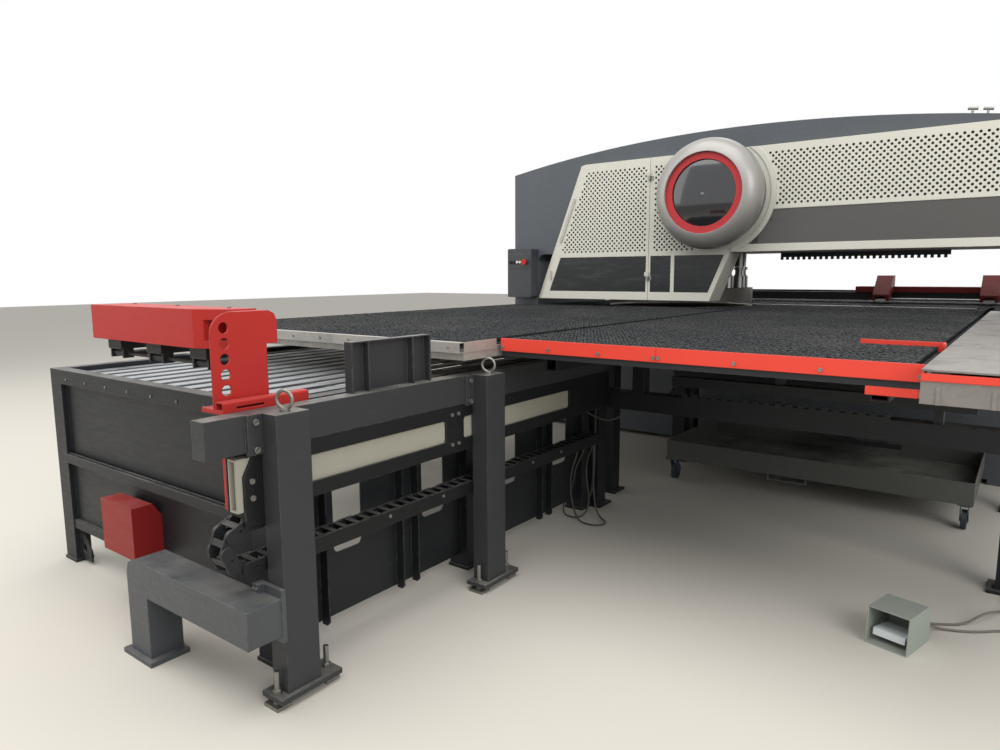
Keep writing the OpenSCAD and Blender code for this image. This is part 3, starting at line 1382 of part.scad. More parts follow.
module cart_wheel(x, y) translate([x - wheel_w / 2, y + caster_trail, wheel_r]) rotate([0, 90, 0])
    color("#3c4045") difference() {
        union() {
            translate([0, 0, 2]) cylinder(h = wheel_w - 4, r = wheel_r, $fn = 48);
            cylinder(h = wheel_w, r = wheel_r * 0.5, $fn = 48);
        }
        translate([0, 0, -eps]) cylinder(h = wheel_w + 2 * eps, r = axle_r + run_gap, $fn = 32);
    }
module cart_wheel_1() place() cart_wheel(caster_xs[0], caster_ys[0]);
module cart_wheel_2() place() cart_wheel(caster_xs[1], caster_ys[0]);
module cart_wheel_3() place() cart_wheel(caster_xs[0], caster_ys[1]);
module cart_wheel_4() place() cart_wheel(caster_xs[1], caster_ys[1]);

// Foot switch

module on_floor_switch() place() translate([pedal_x, pedal_y, 0]) rotate(pedal_turn) children();

module foot_hood() on_floor_switch() color("#8f958f") {
    block([0, 0, 0], [pedal_w, pedal_d, 4]);
    difference() {
        along_x(0, pedal_w) polygon([[0, 4], [pedal_d, 4], [pedal_d, pedal_h - 18],
            [pedal_d - 18, pedal_h], [10, pedal_h]]);
        along_x(hood_t, pedal_w - hood_t) polygon([[-eps, 3], [pedal_d - hood_t, 3],
            [pedal_d - hood_t, pedal_h - 20], [pedal_d - 20, pedal_h - hood_t], [-20, pedal_h - hood_t]]);
    }
    for (x = [hood_t, pedal_w - hood_t - 8])
        difference() {
            block([x, pivot_y - 12, 4], [x + 8, pivot_y + 12, pivot_z + 12]);
            translate([x - eps, pivot_y, pivot_z]) rotate([0, 90, 0])
                cylinder(h = 8 + 2 * eps, r = pivot_r + run_gap, $fn = 32);
        }
    for (x = gland_xs)
        translate([x, pedal_d, 34]) rotate([-90, 0, 0]) cylinder(h = gland_l, r = 10, $fn = 32);
}

// Ribbed pedal on its pivot
module foot_pedal() on_floor_switch() color("#9fb4c4") {
    x0 = hood_t + 12;
    x1 = pedal_w - hood_t - 12;
    translate([hood_t + 0.5, pivot_y, pivot_z]) rotate([0, 90, 0])
        cylinder(h = pedal_w - 2 * hood_t - 1, r = pivot_r, $fn = 32);
    translate([0, pivot_y, pivot_z]) rotate([-7, 0, 0]) {
        block([x0, -92, -4], [x1, 8, 6]);
        for (i = [0 : 10])
            block([x0, -90 + i * 9, 5.9], [x1, -86 + i * 9, 9]);
        block([x0, -92, -14], [x1, -86, -3.9]);
    }
}

// Cords

function unit(v) = v / norm(v);
function ring_at(points, i, r, sides, ref) =
    let (a = points[max(0, i - 1)], b = points[min(len(points) - 1, i + 1)])
    let (along = unit(b - a), side = unit(cross(along, ref)), up = cross(side, along))
    [for (k = [0 : sides - 1]) points[i] + r * (cos(360 * k / sides) * side + sin(360 * k / sides) * up)];

// Tube of flat sides swept along points, none of which run along ref
module cord_tube(points, r, sides, ref) {
    count = len(points);
    rings = [for (i = [0 : count - 1]) each ring_at(points, i, r, sides, ref)];
    walls = [for (i = [0 : count - 2], k = [0 : sides - 1])
        [i * sides + k, i * sides + (k + 1) % sides, (i + 1) * sides + (k + 1) % sides, (i + 1) * sides + k]];
    ends = [[for (k = [0 : sides - 1]) sides - 1 - k],
        [for (k = [0 : sides - 1]) (count - 1) * sides + k]];
    polyhedron(points = rings, faces = concat(walls, ends));
}

module foot_cords() place() color("#6f6b66") {
    cord_tube(CORD_1, cord_d / 2, 8, [0, 0, 1]);
    cord_tube(CORD_2, cord_d / 2, 8, [0, 0, 1]);
}
module cord_coils() place() color("#6f6b66") for (s = coil_spots) translate([s[0], s[1], 0]) {
    band = coil_turns_w * cord_d;
    rotate_extrude($fn = 48) translate([coil_r - band / 2, 0]) square([band, band + 2]);
}
module cord_plugs() place() color("#1c1d1f") for (s = coil_spots)
    translate([s[0] - plug_seat, s[1], 11]) rotate([0, 90, 0]) {
        cylinder(h = plug_l, r = 10, $fn = 32);
        translate([0, 0, plug_l - 16]) cylinder(h = 12, r = 11, $fn = 32);
    }
module hanging_cable() place() color("#4a4640")
    cord_tube([for (p = DROP) [p[0], drop_y, p[1]]], drop_r, 8, [0, 1, 0]);

// Bolts, screws, nuts, studs and eyebolts

module fasteners() place() color("#85888b") {
    door_hinges();
    for (x0 = [centre_x0 + skirt_bolt_in, skirt_seam_x + skirt_bolt_in], i = [0 : 3])
        head_y(x0 + i * (x0 > skirt_seam_x ? centre_x1 - skirt_seam_x - 2 * skirt_bolt_in
            : skirt_seam_x - centre_x0 - 2 * skirt_bolt_in) / 3, centre_y0 - skirt_t, table_z - 32, 6, 4);
    for (y = post_ys, z = [rail_z - 20, beam_z0 + 6])
        head_x(beam_x1 + 10, y - 22, z, 9, 8);
    for (y = splice_ys, z = [guide_window_z + 95, guide_window_z - 12])
        head_x(beam_x1 - 1, y, z, 7, 6);
    for (z = [588, 634])
        head_x(beam_x1 - 1, guide_y0 + 22, z, 8, 7);
    for (y = [-3520, -3260, -2700, -2480])
        head_x(beam_x1 - 5, y, tray_z0 + 30, 6, 3);
    for (i = [0 : 9])
        head_y(left_x0 + (i + 0.7) * left_w / 10, left_y0, table_z - channel_h / 2, 5, 3);
    for (i = [0 : 7])
        head_y(stack_x0 + 140 + i * 165, stack_y0, stack_z0 + 20, 5, 3);
    for (x = [-690, -420, -140])
        translate([x, arm_y1 - 30, arm_z0 + arm_h]) socket_head(6, 4);
    for (x = [beam_x1 - 26, beam_x1 - 14])
        head_y(x, knee_y1 - 16, knee_z1 + 14, 4, 4);
    for (y = [guard_y0 + 190, guard_y0 + 240])
        translate([beam_x0 + 42, y, rail_z]) socket_head(5, 3);
    for (x = [bridge_x1 - 480, bridge_x1 - 410])
        translate([crown_x, frame_y0 + 40, bridge_h - arch_r]) rotate([0, asin((x - crown_x) / arch_r), 0])
            translate([0, 0, arch_r - 0.01]) {
                cylinder(h = 26, r = 6, $fn = 24);
                translate([-24, 0, 30]) rotate([0, 90, 0]) cylinder(h = 48, r = 8, $fn = 24);
            }
    for (y = post_ys) {
        post_feet(y);
        eyebolt(beam_x1 + post_w / 2, y + post_l / 2);
    }
}

bridge_frame();
upper_turret();
lower_turret();
punches();
active_punch();
ram();
turret_door();
door_window();
door_latch();
middle_cover();
right_cover();
fixed_windows();
drive_drum();
drive_bezel();
drive_ring();
drive_lens();
control_box();
estop_knob();
push_button_1();
push_button_2();
selector_1();
selector_2();
centre_table();
left_table();
right_table();
rear_table();
brush_mats();
red_skirt();
table_stand();
rail_beam();
rail_posts();
guide_plate();
guide_bar();
knee_frame();
cable_chain();
arm_slide();
take_out_arm();
gripper_jaws();
stacking_table();
stack_bed();
junction_box();
cross_beam();
clamp_carriage();
clamp_jaws();
cart_tray();
cart_fork_1();
cart_fork_2();
cart_fork_3();
cart_fork_4();
cart_wheel_1();
cart_wheel_2();
cart_wheel_3();
cart_wheel_4();
foot_hood();
foot_pedal();
foot_cords();
cord_coils();
cord_plugs();
hanging_cable();
fasteners();
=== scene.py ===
"""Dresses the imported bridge-frame turret punch press for its looks.

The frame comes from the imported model, in metres, with the origin on the floor
at the middle of the machine's outline, X along the bridge, Y to the back.
"""

from __future__ import annotations

import json
import logging
import math
import random
from collections.abc import Callable
from dataclasses import dataclass, field, replace
from enum import Enum

import bmesh
import bpy
from bmesh.types import BMesh, BMVert
from bpy.types import ID, Material, Node, NodeSocket, NodeTree, Object
from mathutils import Matrix, Vector

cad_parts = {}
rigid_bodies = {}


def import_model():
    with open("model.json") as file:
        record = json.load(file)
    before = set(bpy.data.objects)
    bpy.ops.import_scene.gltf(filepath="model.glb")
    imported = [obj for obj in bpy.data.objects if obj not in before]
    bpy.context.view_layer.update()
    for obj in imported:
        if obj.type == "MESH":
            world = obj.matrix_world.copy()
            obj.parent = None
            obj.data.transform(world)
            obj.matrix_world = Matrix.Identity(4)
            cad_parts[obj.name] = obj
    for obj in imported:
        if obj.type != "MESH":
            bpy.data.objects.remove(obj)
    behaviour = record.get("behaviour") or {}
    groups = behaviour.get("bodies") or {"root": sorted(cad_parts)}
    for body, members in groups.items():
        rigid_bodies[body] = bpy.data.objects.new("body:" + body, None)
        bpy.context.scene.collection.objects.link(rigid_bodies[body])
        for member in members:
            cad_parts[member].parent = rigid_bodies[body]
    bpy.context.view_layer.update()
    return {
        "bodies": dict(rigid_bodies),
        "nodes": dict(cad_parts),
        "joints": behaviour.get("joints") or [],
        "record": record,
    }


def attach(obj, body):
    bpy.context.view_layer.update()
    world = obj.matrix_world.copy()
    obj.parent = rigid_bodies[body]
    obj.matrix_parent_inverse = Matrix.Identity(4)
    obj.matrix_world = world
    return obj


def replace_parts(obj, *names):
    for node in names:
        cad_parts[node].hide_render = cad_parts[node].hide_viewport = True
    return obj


LOG = logging.getLogger("press")
MM = 0.001

# Machine coordinates have their zero at the middle of the round drive cover
# and on the floor, 0.45 m behind the face of the covers.
ORIGIN = Vector((0.1, -0.845, 0.0))
DRIVE_Z = 1668.0

# How far a cutting tool runs past what it cuts, in millimetres.
PAST = 10.0

# Corners in X and Z, in machine millimetres.
Outline = list[tuple[float, float]]

# Materials by slot or node name.
Materials = dict[str, Material]


def row(x: float, y: float, z: float) -> Vector:
    """Turns machine coordinates in millimetres into the frame's metres."""
    return Vector((x, y, z)) * MM - ORIGIN


def linear(code: str) -> tuple[float, float, float, float]:
    """Turns an sRGB hex colour into linear values.

    Args:
        code: Six hex digits after a hash.

    Returns:
        Red, green, blue and an alpha of one.
    """
    parts = [int(code[i:i + 2], 16) / 255 for i in (1, 3, 5)]
    red, green, blue = (p / 12.92 if p <= 0.04045 else ((p + 0.055) / 1.055) ** 2.4 for p in parts)
    return (red, green, blue, 1.0)


def per_metre(size_mm: float) -> float:
    """Gives the texture scale for a feature of a real size in millimetres."""
    return 1000.0 / size_mm


def fill(tree: NodeTree, node: Node, inputs: dict) -> None:
    """Fills or links a node's inputs.

    Args:
        tree: Tree of the node.
        node: Node to fill.
        inputs: By name or index, a value, an output socket, or a node for its first output in use.
    """
    for name, value in inputs.items():
        if isinstance(value, Node):
            value = next(socket for socket in value.outputs if socket.enabled)
        if isinstance(value, NodeSocket):
            tree.links.new(value, node.inputs[name])
        else:
            node.inputs[name].default_value = value


def add(tree: NodeTree, kind: str, inputs: dict | None = None, **settings) -> Node:
    """Adds a node with its settings and links.

    Args:
        tree: Tree that takes the node.
        kind: Blender's name of the node type, after ShaderNode.
        inputs: What fills its inputs, as fill takes it.
        **settings: Attributes to set on the node.

    Returns:
        The new node.
    """
    node = tree.nodes.new("ShaderNode" + kind)
    for name, value in settings.items():
        setattr(node, name, value)
    fill(tree, node, inputs or {})
    return node


@dataclass(frozen=True)
class Finish:
    """What every finish shares: its name and its place in the object's own space."""

    name: str

    def start(self, values: dict | None = None) -> tuple[Material, NodeTree, Node, NodeSocket]:
        """Makes a node material with its shader alone.

        Args:
            values: Plain values of the shader's inputs.

        Returns:
            The material, its tree, its Principled shader and Object coordinates.
        """
        material = bpy.data.materials.new(self.name)
        material.use_nodes = True
        tree = material.node_tree
        tree.nodes.clear()
        shader = add(tree, "BsdfPrincipled", values)
        add(tree, "OutputMaterial", {"Surface": shader})
        place = add(tree, "TexCoord").outputs["Object"]
        return material, tree, shader, place

    def patches(self, tree: NodeTree, place: Node | NodeSocket,
                grain: tuple[float, float, float], span: tuple[float, float],
                most: float = 1.0) -> tuple[Node, Node]:
        """Makes random patches of one size.

        Args:
            tree: Tree that takes the nodes.
            place: Where the pattern lies.
            grain: Size in millimetres, then the noise's detail and roughness.
            span: Noise values at which a patch starts and is full.
            most: Strength of a full patch.

        Returns:
            The noise and the patches.
        """
        size_mm, detail, rough = grain
        noise = add(tree, "TexNoise", {
            "Vector": place, "Scale": per_metre(size_mm), "Detail": detail, "Roughness": rough})
        return noise, add(tree, "MapRange", {
            "Value": noise, "From Min": span[0], "From Max": span[1], "To Max": most})

    def build(self) -> Material:
        """Makes the material. Each kind of finish has its own."""
        raise NotImplementedError


@dataclass(frozen=True)
class SprayedSteel(Finish):
    """Sprayed or powder-coated sheet and tube, with worn edges, scuffs and dust."""

    coat: str
    shade: str
    worn: str = "#8b8a86"
    dust: str = "#a8a399"
    roughness: float = 0.45
    mottle_mm: float = 420.0
    peel_mm: float = 9.0
    peel: float = 0.12
    edge_wear: float = 0.5
    scuffs: float = 0.25
    dusting: float = 0.3
    edge_mm: float = 4.0
    flake: float = 0.0
    specular: float = 0.3
    chip_mm: float = 28.0
    rub_mm: float = 90.0
    rub_stretch: float = 7.0
    patch_mm: float = 130.0

    def build(self) -> Material:
        """Makes the painted material.

        Returns:
            The finished material.
        """
        material, tree, shader, place = self.start({
            "Metallic": self.flake, "Specular IOR Level": self.specular})
        mottle = add(tree, "TexNoise", {
            "Vector": place, "Scale": per_metre(self.mottle_mm), "Detail": 6.0, "Roughness": 0.6})
        body = add(tree, "Mix", {
            "Factor": mottle, "A": linear(self.coat), "B": linear(self.shade)}, data_type="RGBA")
        soft_edge = add(tree, "Bevel", {"Radius": self.edge_mm * MM}, samples=4)
        geometry = add(tree, "NewGeometry")
        facing = add(tree, "VectorMath", {
            0: soft_edge, 1: geometry.outputs["Normal"]}, operation="DOT_PRODUCT")
        edge = add(tree, "MapRange", {
            "Value": facing, "From Min": 0.985, "From Max": 0.86, "To Max": self.edge_wear})
        _, chipped = self.patches(tree, place, (self.chip_mm, 5.0, 0.7), (0.42, 0.62))
        edge_mask = add(tree, "Math", {0: edge, 1: chipped}, operation="MULTIPLY")
        stretched = add(tree, "Mapping", {"Vector": place, "Scale": (1.0, 1.0, self.rub_stretch)})
        rub, rubbed = self.patches(tree, stretched, (self.rub_mm, 8.0, 0.75), (0.6, 0.78), self.scuffs)
        wear = add(tree, "Math", {0: edge_mask, 1: rubbed}, operation="MAXIMUM")
        worn = add(tree, "Mix", {"Factor": wear, "A": body, "B": linear(self.worn)}, data_type="RGBA")
        up = add(tree, "SeparateXYZ", {"Vector": geometry.outputs["Normal"]})
        settled = add(tree, "MapRange", {
            "Value": up.outputs["Z"], "From Min": 0.5, "From Max": 1.0, "To Max": self.dusting})
        _, patched = self.patches(tree, place, (self.patch_mm, 7.0, 0.65), (0.3, 0.7))
        film = add(tree, "Math", {0: settled, 1: patched}, operation="MULTIPLY")
        dusty = add(tree, "Mix", {"Factor": film, "A": worn, "B": linear(self.dust)}, data_type="RGBA")
        dulled = add(tree, "MapRange", {
            "Value": rub, "From Min": 0.3, "From Max": 0.75,
            "To Min": self.roughness * 0.82, "To Max": min(1.0, self.roughness * 1.3)})
        skin = add(tree, "TexNoise", {"Vector": place, "Scale": per_metre(self.peel_mm), "Detail": 3.0})
        bump = add(tree, "Bump", {
            "Strength": self.peel, "Distance": 0.0015, "Height": skin, "Normal": soft_edge})
        fill(tree, shader, {"Base Color": dusty, "Roughness": dulled, "Normal": bump})
        return material


@dataclass(frozen=True)
class BareMetal(Finish):
    """Bare steel or aluminium, ground or rubbed bright, with oil and scratches."""

    coat: str
    shade: str
    roughness: float = 0.38
    stretch: tuple[float, float, float] = (1.0, 12.0, 12.0)
    grain_mm: float = 96.0
    cloud_mm: float = 170.0
    stain: str = "#4a463f"
    stains: float = 0.25
    metallic: float = 0.9
    edge_mm: float = 2.0

    def build(self) -> Material:
        """Makes the bare metal material.

        Returns:
            The finished material.
        """
        material, tree, shader, place = self.start({"Metallic": self.metallic})
        along = add(tree, "Mapping", {"Vector": place, "Scale": self.stretch})
        grain = add(tree, "TexNoise", {
            "Vector": along, "Scale": per_metre(self.grain_mm), "Detail": 8.0, "Roughness": 0.7})
        tone = add(tree, "Mix", {
            "Factor": grain, "A": linear(self.coat), "B": linear(self.shade)}, data_type="RGBA")
        cloud, marked = self.patches(tree, place, (self.cloud_mm, 7.0, 0.62), (0.5, 0.72), self.stains)
        stained = add(tree, "Mix", {
            "Factor": marked, "A": tone, "B": linear(self.stain)}, data_type="RGBA")
        dulled = add(tree, "MapRange", {
            "Value": cloud, "From Min": 0.3, "From Max": 0.7,
            "To Min": self.roughness * 0.75, "To Max": min(1.0, self.roughness * 1.4)})
        soft_edge = add(tree, "Bevel", {"Radius": self.edge_mm * MM}, samples=4)
        bump = add(tree, "Bump", {
            "Strength": 0.15, "Distance": 0.0006, "Height": grain, "Normal": soft_edge})
        fill(tree, shader, {"Base Color": stained, "Roughness": dulled, "Normal": bump})
        return material


@dataclass(frozen=True)
class Moulded(Finish):
    """Moulded plastic or rubber, with a fine spark grain and a film of dust."""

    coat: str
    shade: str
    roughness: float = 0.5
    cloud_mm: float = 60.0
    grain_mm: float = 6.0
    grain: float = 0.2
    dust: str = "#8e8a82"
    dusting: float = 0.2
    coat_weight: float = 0.0
    specular: float = 0.3

    def build(self) -> Material:
        """Makes the moulded material.

        Returns:
            The finished material.
        """
        material, tree, shader, place = self.start({
            "Coat Weight": self.coat_weight, "Specular IOR Level": self.specular})
        cloud = add(tree, "TexNoise", {
            "Vector": place, "Scale": per_metre(self.cloud_mm), "Detail": 6.0, "Roughness": 0.6})
        body = add(tree, "Mix", {
            "Factor": cloud, "A": linear(self.coat), "B": linear(self.shade)}, data_type="RGBA")
        geometry = add(tree, "NewGeometry")
        up = add(tree, "SeparateXYZ", {"Vector": geometry.outputs["Normal"]})
        settled = add(tree, "MapRange", {
            "Value": up.outputs["Z"], "From Min": 0.2, "From Max": 1.0, "To Max": self.dusting})
        film = add(tree, "Math", {0: settled, 1: cloud}, operation="MULTIPLY")
        dusty = add(tree, "Mix", {"Factor": film, "A": body, "B": linear(self.dust)}, data_type="RGBA")
        dulled = add(tree, "MapRange", {
            "Value": cloud, "From Min": 0.3, "From Max": 0.7,
            "To Min": self.roughness * 0.85, "To Max": min(1.0, self.roughness * 1.2)})
        skin = add(tree, "TexNoise", {
            "Vector": place, "Scale": per_metre(self.grain_mm), "Detail": 4.0})
        bump = add(tree, "Bump", {"Strength": self.grain, "Distance": 0.001, "Height": skin})
        fill(tree, shader, {"Base Color": dusty, "Roughness": dulled, "Normal": bump})
        return material


@dataclass(frozen=True)
class SmokedSheet(Finish):
    """Smoked clear sheet, wiped by hand, so that a haze of faint strokes lies on its gloss.

    Past a set X the sheet is painted paler: painted light, for the brighter light that it shows there.
    """

    coat: str
    haze: str
    roughness: float = 0.1
    wiped: float = 0.35
    stroke_mm: float = 70.0
    stroke_deg: float = 24.0
    painted_light_from: float = 180.0
    painted_light_blend: float = 2.0
    painted_light_tone: str = "#565350"

    def build(self) -> Material:
        """Makes the smoked sheet.

        Returns:
            The finished material.
        """
        material, tree, shader, place = self.start()
        along = add(tree, "SeparateXYZ", {"Vector": place})
        # Painted light: past a set X the colour turns to a paler tone, for the light that the sheet shows
        # there.
        painted_light_mask = add(tree, "MapRange", {
            "Value": along.outputs["X"], "From Min": self.painted_light_from * MM,
            "From Max": (self.painted_light_from + self.painted_light_blend) * MM})
        body = add(tree, "Mix", {
            "Factor": painted_light_mask, "A": linear(self.coat), "B": linear(self.painted_light_tone)}, data_type="RGBA")
        slant = add(tree, "Mapping", {
            "Vector": place, "Rotation": (0.0, math.radians(self.stroke_deg), 0.0),
            "Scale": (0.25, 1.0, 2.0)})
        strokes, film = self.patches(tree, slant, (self.stroke_mm, 6.0, 0.7), (0.48, 0.74), self.wiped)
        hazed = add(tree, "Mix", {"Factor": film, "A": body, "B": linear(self.haze)}, data_type="RGBA")
        dulled = add(tree, "MapRange", {
            "Value": strokes, "From Min": 0.35, "From Max": 0.75,
            "To Min": self.roughness, "To Max": self.roughness + 0.3})
        fill(tree, shader, {"Base Color": hazed, "Roughness": dulled})
        return material


@dataclass(frozen=True)
class Bristle(Finish):
    """Cut nylon bristles: dark clumps, with pale speckles near the tips that are a painted highlight, and
    dust on the tips.
    """

    coat: str
    tip: str
    dust: str = "#77736b"
    clump_mm: float = 9.0
    tip_z: float = 935.0
    tip_depth: float = 7.0
    highlight_speckle: float = 0.7
    dusting: float = 0.28
    drift_mm: float = 380.0
    hair_mm: float = 1.6
    roughness: float = 0.7
    specular: float = 0.2

    def build(self) -> Material:
        """Makes the bristle material.

        Returns:
            The finished material.
        """
        material, tree, shader, place = self.start({
            "Roughness": self.roughness, "Specular IOR Level": self.specular})
        # Painted highlight: speckles of the paler tip colour near the tips, where light catches the
        # bristles.
        _, bright = self.patches(tree, place, (self.clump_mm, 3.0, 0.8), (0.42, 0.72), self.highlight_speckle)
        height = add(tree, "SeparateXYZ", {"Vector": place})
        near_tip = add(tree, "MapRange", {
            "Value": height.outputs["Z"], "From Min": (self.tip_z - self.tip_depth) * MM,
            "From Max": self.tip_z * MM})
        painted_tip_highlight = add(tree, "Math", {0: bright, 1: near_tip}, operation="MULTIPLY")
        body = add(tree, "Mix", {
            "Factor": painted_tip_highlight, "A": linear(self.coat), "B": linear(self.tip)}, data_type="RGBA")
        _, drifted = self.patches(tree, place, (self.drift_mm, 6.0, 0.65), (0.45, 0.75), self.dusting)
        film = add(tree, "Math", {0: drifted, 1: near_tip}, operation="MULTIPLY")
        dusty = add(tree, "Mix", {"Factor": film, "A": body, "B": linear(self.dust)}, data_type="RGBA")
        strands = add(tree, "Mapping", {"Vector": place, "Scale": (1.0, 1.0, 0.1)})
        hair = add(tree, "TexNoise", {
            "Vector": strands, "Scale": per_metre(self.hair_mm), "Detail": 2.0})
        bump = add(tree, "Bump", {"Strength": 0.8, "Distance": 0.0012, "Height": hair})
        fill(tree, shader, {"Base Color": dusty, "Normal": bump})
        return material


def finishes() -> dict[str, Finish]:
    """Lists the finish of each material slot in the record.

    Returns:
        Finishes by the record's slot name.
    """
    return {
        # Charcoal hammer-finish enamel: a soft sheen with a coarse orange peel.
        "frame_paint": SprayedSteel(
            "charcoal_enamel", "#565a5f", "#484c51", roughness=0.4, peel_mm=14.0, peel=0.9,
            scuffs=0.12, dusting=0.35, specular=0.45),
        # Warm light grey powder coat, smooth, with little wear.
        "cover_paint": SprayedSteel(
            "warm_grey_powder_coat", "#dcdacc", "#d1cec1", worn="#a5a298", roughness=0.5,
            edge_wear=0.2, scuffs=0.1, peel=0.06, dusting=0.1),
        # Smoked polycarbonate sheet: black gloss, painted paler on its right part as painted light.
        "window_plastic": SmokedSheet("smoked_polycarbonate", "#131517", "#55585a"),
        # Silver metallic lacquer: fine flake and a soft sheen.
        "drive_silver": SprayedSteel(
            "silver_lacquer", "#a9a6a1", "#9c9994", worn="#8f8e8a", roughness=0.34, specular=0.5,
            flake=0.3, edge_wear=0.05, scuffs=0.05, peel=0.03, dusting=0.05),
        # Red gloss lacquer: clean and even, with a clear shine.
        "drive_red": SprayedSteel(
            "red_lacquer", "#c43a3e", "#b23438", worn="#8c2e30", roughness=0.3, edge_wear=0.1,
            scuffs=0.05, peel=0.02, dusting=0.0),
        # Black acrylic dome: mirror gloss.
        "drive_black": Moulded(
            "black_acrylic", "#1a1b1e", "#202226", roughness=0.1, grain=0.0, dusting=0.0,
            coat_weight=0.8, specular=0.6),
        # Cast iron under a brown film of oil: dull, in dark patches.
        "turret_steel": BareMetal("oiled_cast_iron", "#8a8880", "#6c6a60", roughness=0.45, stains=0.5),
        # Ground tool steel: bright, with fine marks.
        "tool_steel": BareMetal("ground_tool_steel", "#b6b6b2", "#96968f", roughness=0.3, stains=0.2),
        # Moulded ABS buttons and knobs: smooth, with a mild shine.
        "switch_red": Moulded("red_abs", "#c6281f", "#b3221a", roughness=0.35, grain=0.05),
        "switch_white": Moulded("white_abs", "#e2e2dc", "#d6d6cf", roughness=0.4, grain=0.05),
        "switch_black": Moulded("black_abs", "#1e1f21", "#28292c", roughness=0.45, grain=0.1),
        # Dark grey enamel on the table decks, worn by sheets sliding over it.
        "deck_paint": SprayedSteel(
            "dark_grey_enamel", "#2e3032", "#26282a", roughness=0.5, scuffs=0.35, dusting=0.35),
        # Extruded aluminium channel, dull and knocked.
        "edge_aluminium": BareMetal(
            "extruded_aluminium", "#c2bfb7", "#a09d96", roughness=0.42, stretch=(0.6, 9.0, 9.0),
            stains=0.4, metallic=0.5),
        # Steel wear plates, polished by sheets, with dull grey marks.
        "wear_plate": BareMetal(
            "rubbed_steel_plate", "#9b9691", "#77736e", roughness=0.42, stretch=(8.0, 0.8, 8.0),
            stains=0.7, metallic=0.4),
        # Nylon bristles, black, dulled by dust, with a painted highlight of paler tips.
        "brush": Bristle("nylon_bristle", "#292b2d", "#636464"),
        # Signal red gloss paint: even and strong, with few marks.
        "skirt_red": SprayedSteel(
            "signal_red_paint", "#f24e3e", "#e94838", worn="#a23a30", roughness=0.4, edge_wear=0.25,
            scuffs=0.1, peel=0.04, dusting=0.1),
        # Charcoal paint on the rail, rubbed grey and dusty on top.
        "rail_paint": SprayedSteel(
            "charcoal_rail_paint", "#3c3d3f", "#323335", worn="#77756f", roughness=0.44, edge_wear=0.7,
            scuffs=0.3, dusting=0.6),
        # Cream enamel, stained by oil.
        "bar_cream": SprayedSteel(
            "cream_enamel", "#b0ad9d", "#98958a", worn="#6f6c62", roughness=0.5, edge_wear=0.3,
            scuffs=0.25, dusting=0.2),
        # Moulded nylon links: matt black, grey with dust on top.
        "chain_plastic": Moulded(
            "glass_filled_nylon", "#1d1e20", "#292a2c", roughness=0.5, dusting=0.5),
        # Red enamel on the take-out arm, faded and lightly rubbed.
        "arm_red": SprayedSteel(
            "arm_red_enamel", "#c2352f", "#ad2d29", worn="#8a4a44", dust="#b59a94", roughness=0.42,
            specular=0.2, edge_wear=0.3, scuffs=0.12, peel=0.08, dusting=0.2),
        # Black oxide on the jaws, rubbed bright at the edges.
        "jaw_black": SprayedSteel(
            "jaw_black_oxide", "#242527", "#1c1d1f", roughness=0.5, edge_wear=0.6),
        # Bright slats scratched by sheets.
        "slat_steel": BareMetal(
            "scratched_slat_steel", "#c3c6c8", "#9fa3a6", roughness=0.36, stretch=(9.0, 0.7, 9.0),
            stains=0.3),
        # Dark red enamel on the work clamps, with a soft sheen.
        "clamp_red": SprayedSteel("clamp_red_enamel", "#8e2a26", "#7a2422", roughness=0.45),
        # Grey-green enamel on the scrap cart, dented and rubbed.
        "cart_paint": SprayedSteel(
            "cart_grey_enamel", "#5f615b", "#50524d", worn="#8e8f88", roughness=0.5, edge_wear=0.8,
            scuffs=0.5, dusting=0.6),
        # Blue passivated zinc on the caster forks, dull.
        "fork_blue": SprayedSteel("fork_blue_zinc", "#4b5d74", "#3f4f63", roughness=0.4),
        # Caster treads: matt rubber under dust.
        "wheel_rubber": Moulded("caster_rubber", "#3a3f44", "#2f3438", roughness=0.6, dusting=0.5),
        # Grey-green hammer enamel on the foot switch.
        "hood_paint": SprayedSteel(
            "hood_grey_enamel", "#a2a99f", "#939a91", worn="#c8c9c1", roughness=0.45, edge_wear=0.8,
            scuffs=0.3, peel=0.4, dusting=0.4, edge_mm=2.0),
        # Blue-grey moulded pedal, worn smooth, painted paler than its own colour: painted light, since it
        # sits in shade under the hood.
        "pedal_blue": Moulded("pedal_rubber_blue_painted_light", "#dde3e3", "#cdd4d5", roughness=0.55, dusting=0.25),
        # Grey PVC cord sheath with a film of workshop dust.
        "cord_rubber": Moulded(
            "grey_pvc_sheath", "#7b7770", "#6d6962", roughness=0.55, grain=0.1, dusting=0.4),
        # Darker PVC sheath of the machine's own cables, dusty on top.
        "cable_sheath": Moulded(
            "dark_pvc_sheath", "#55524b", "#44423c", roughness=0.5, grain=0.1, dusting=0.4),
        # Zinc-plated fasteners: grey, with small bright edges.
        "bolt_steel": BareMetal("zinc_plate", "#a3a29c", "#82817b", roughness=0.35, stains=0.4),
    }


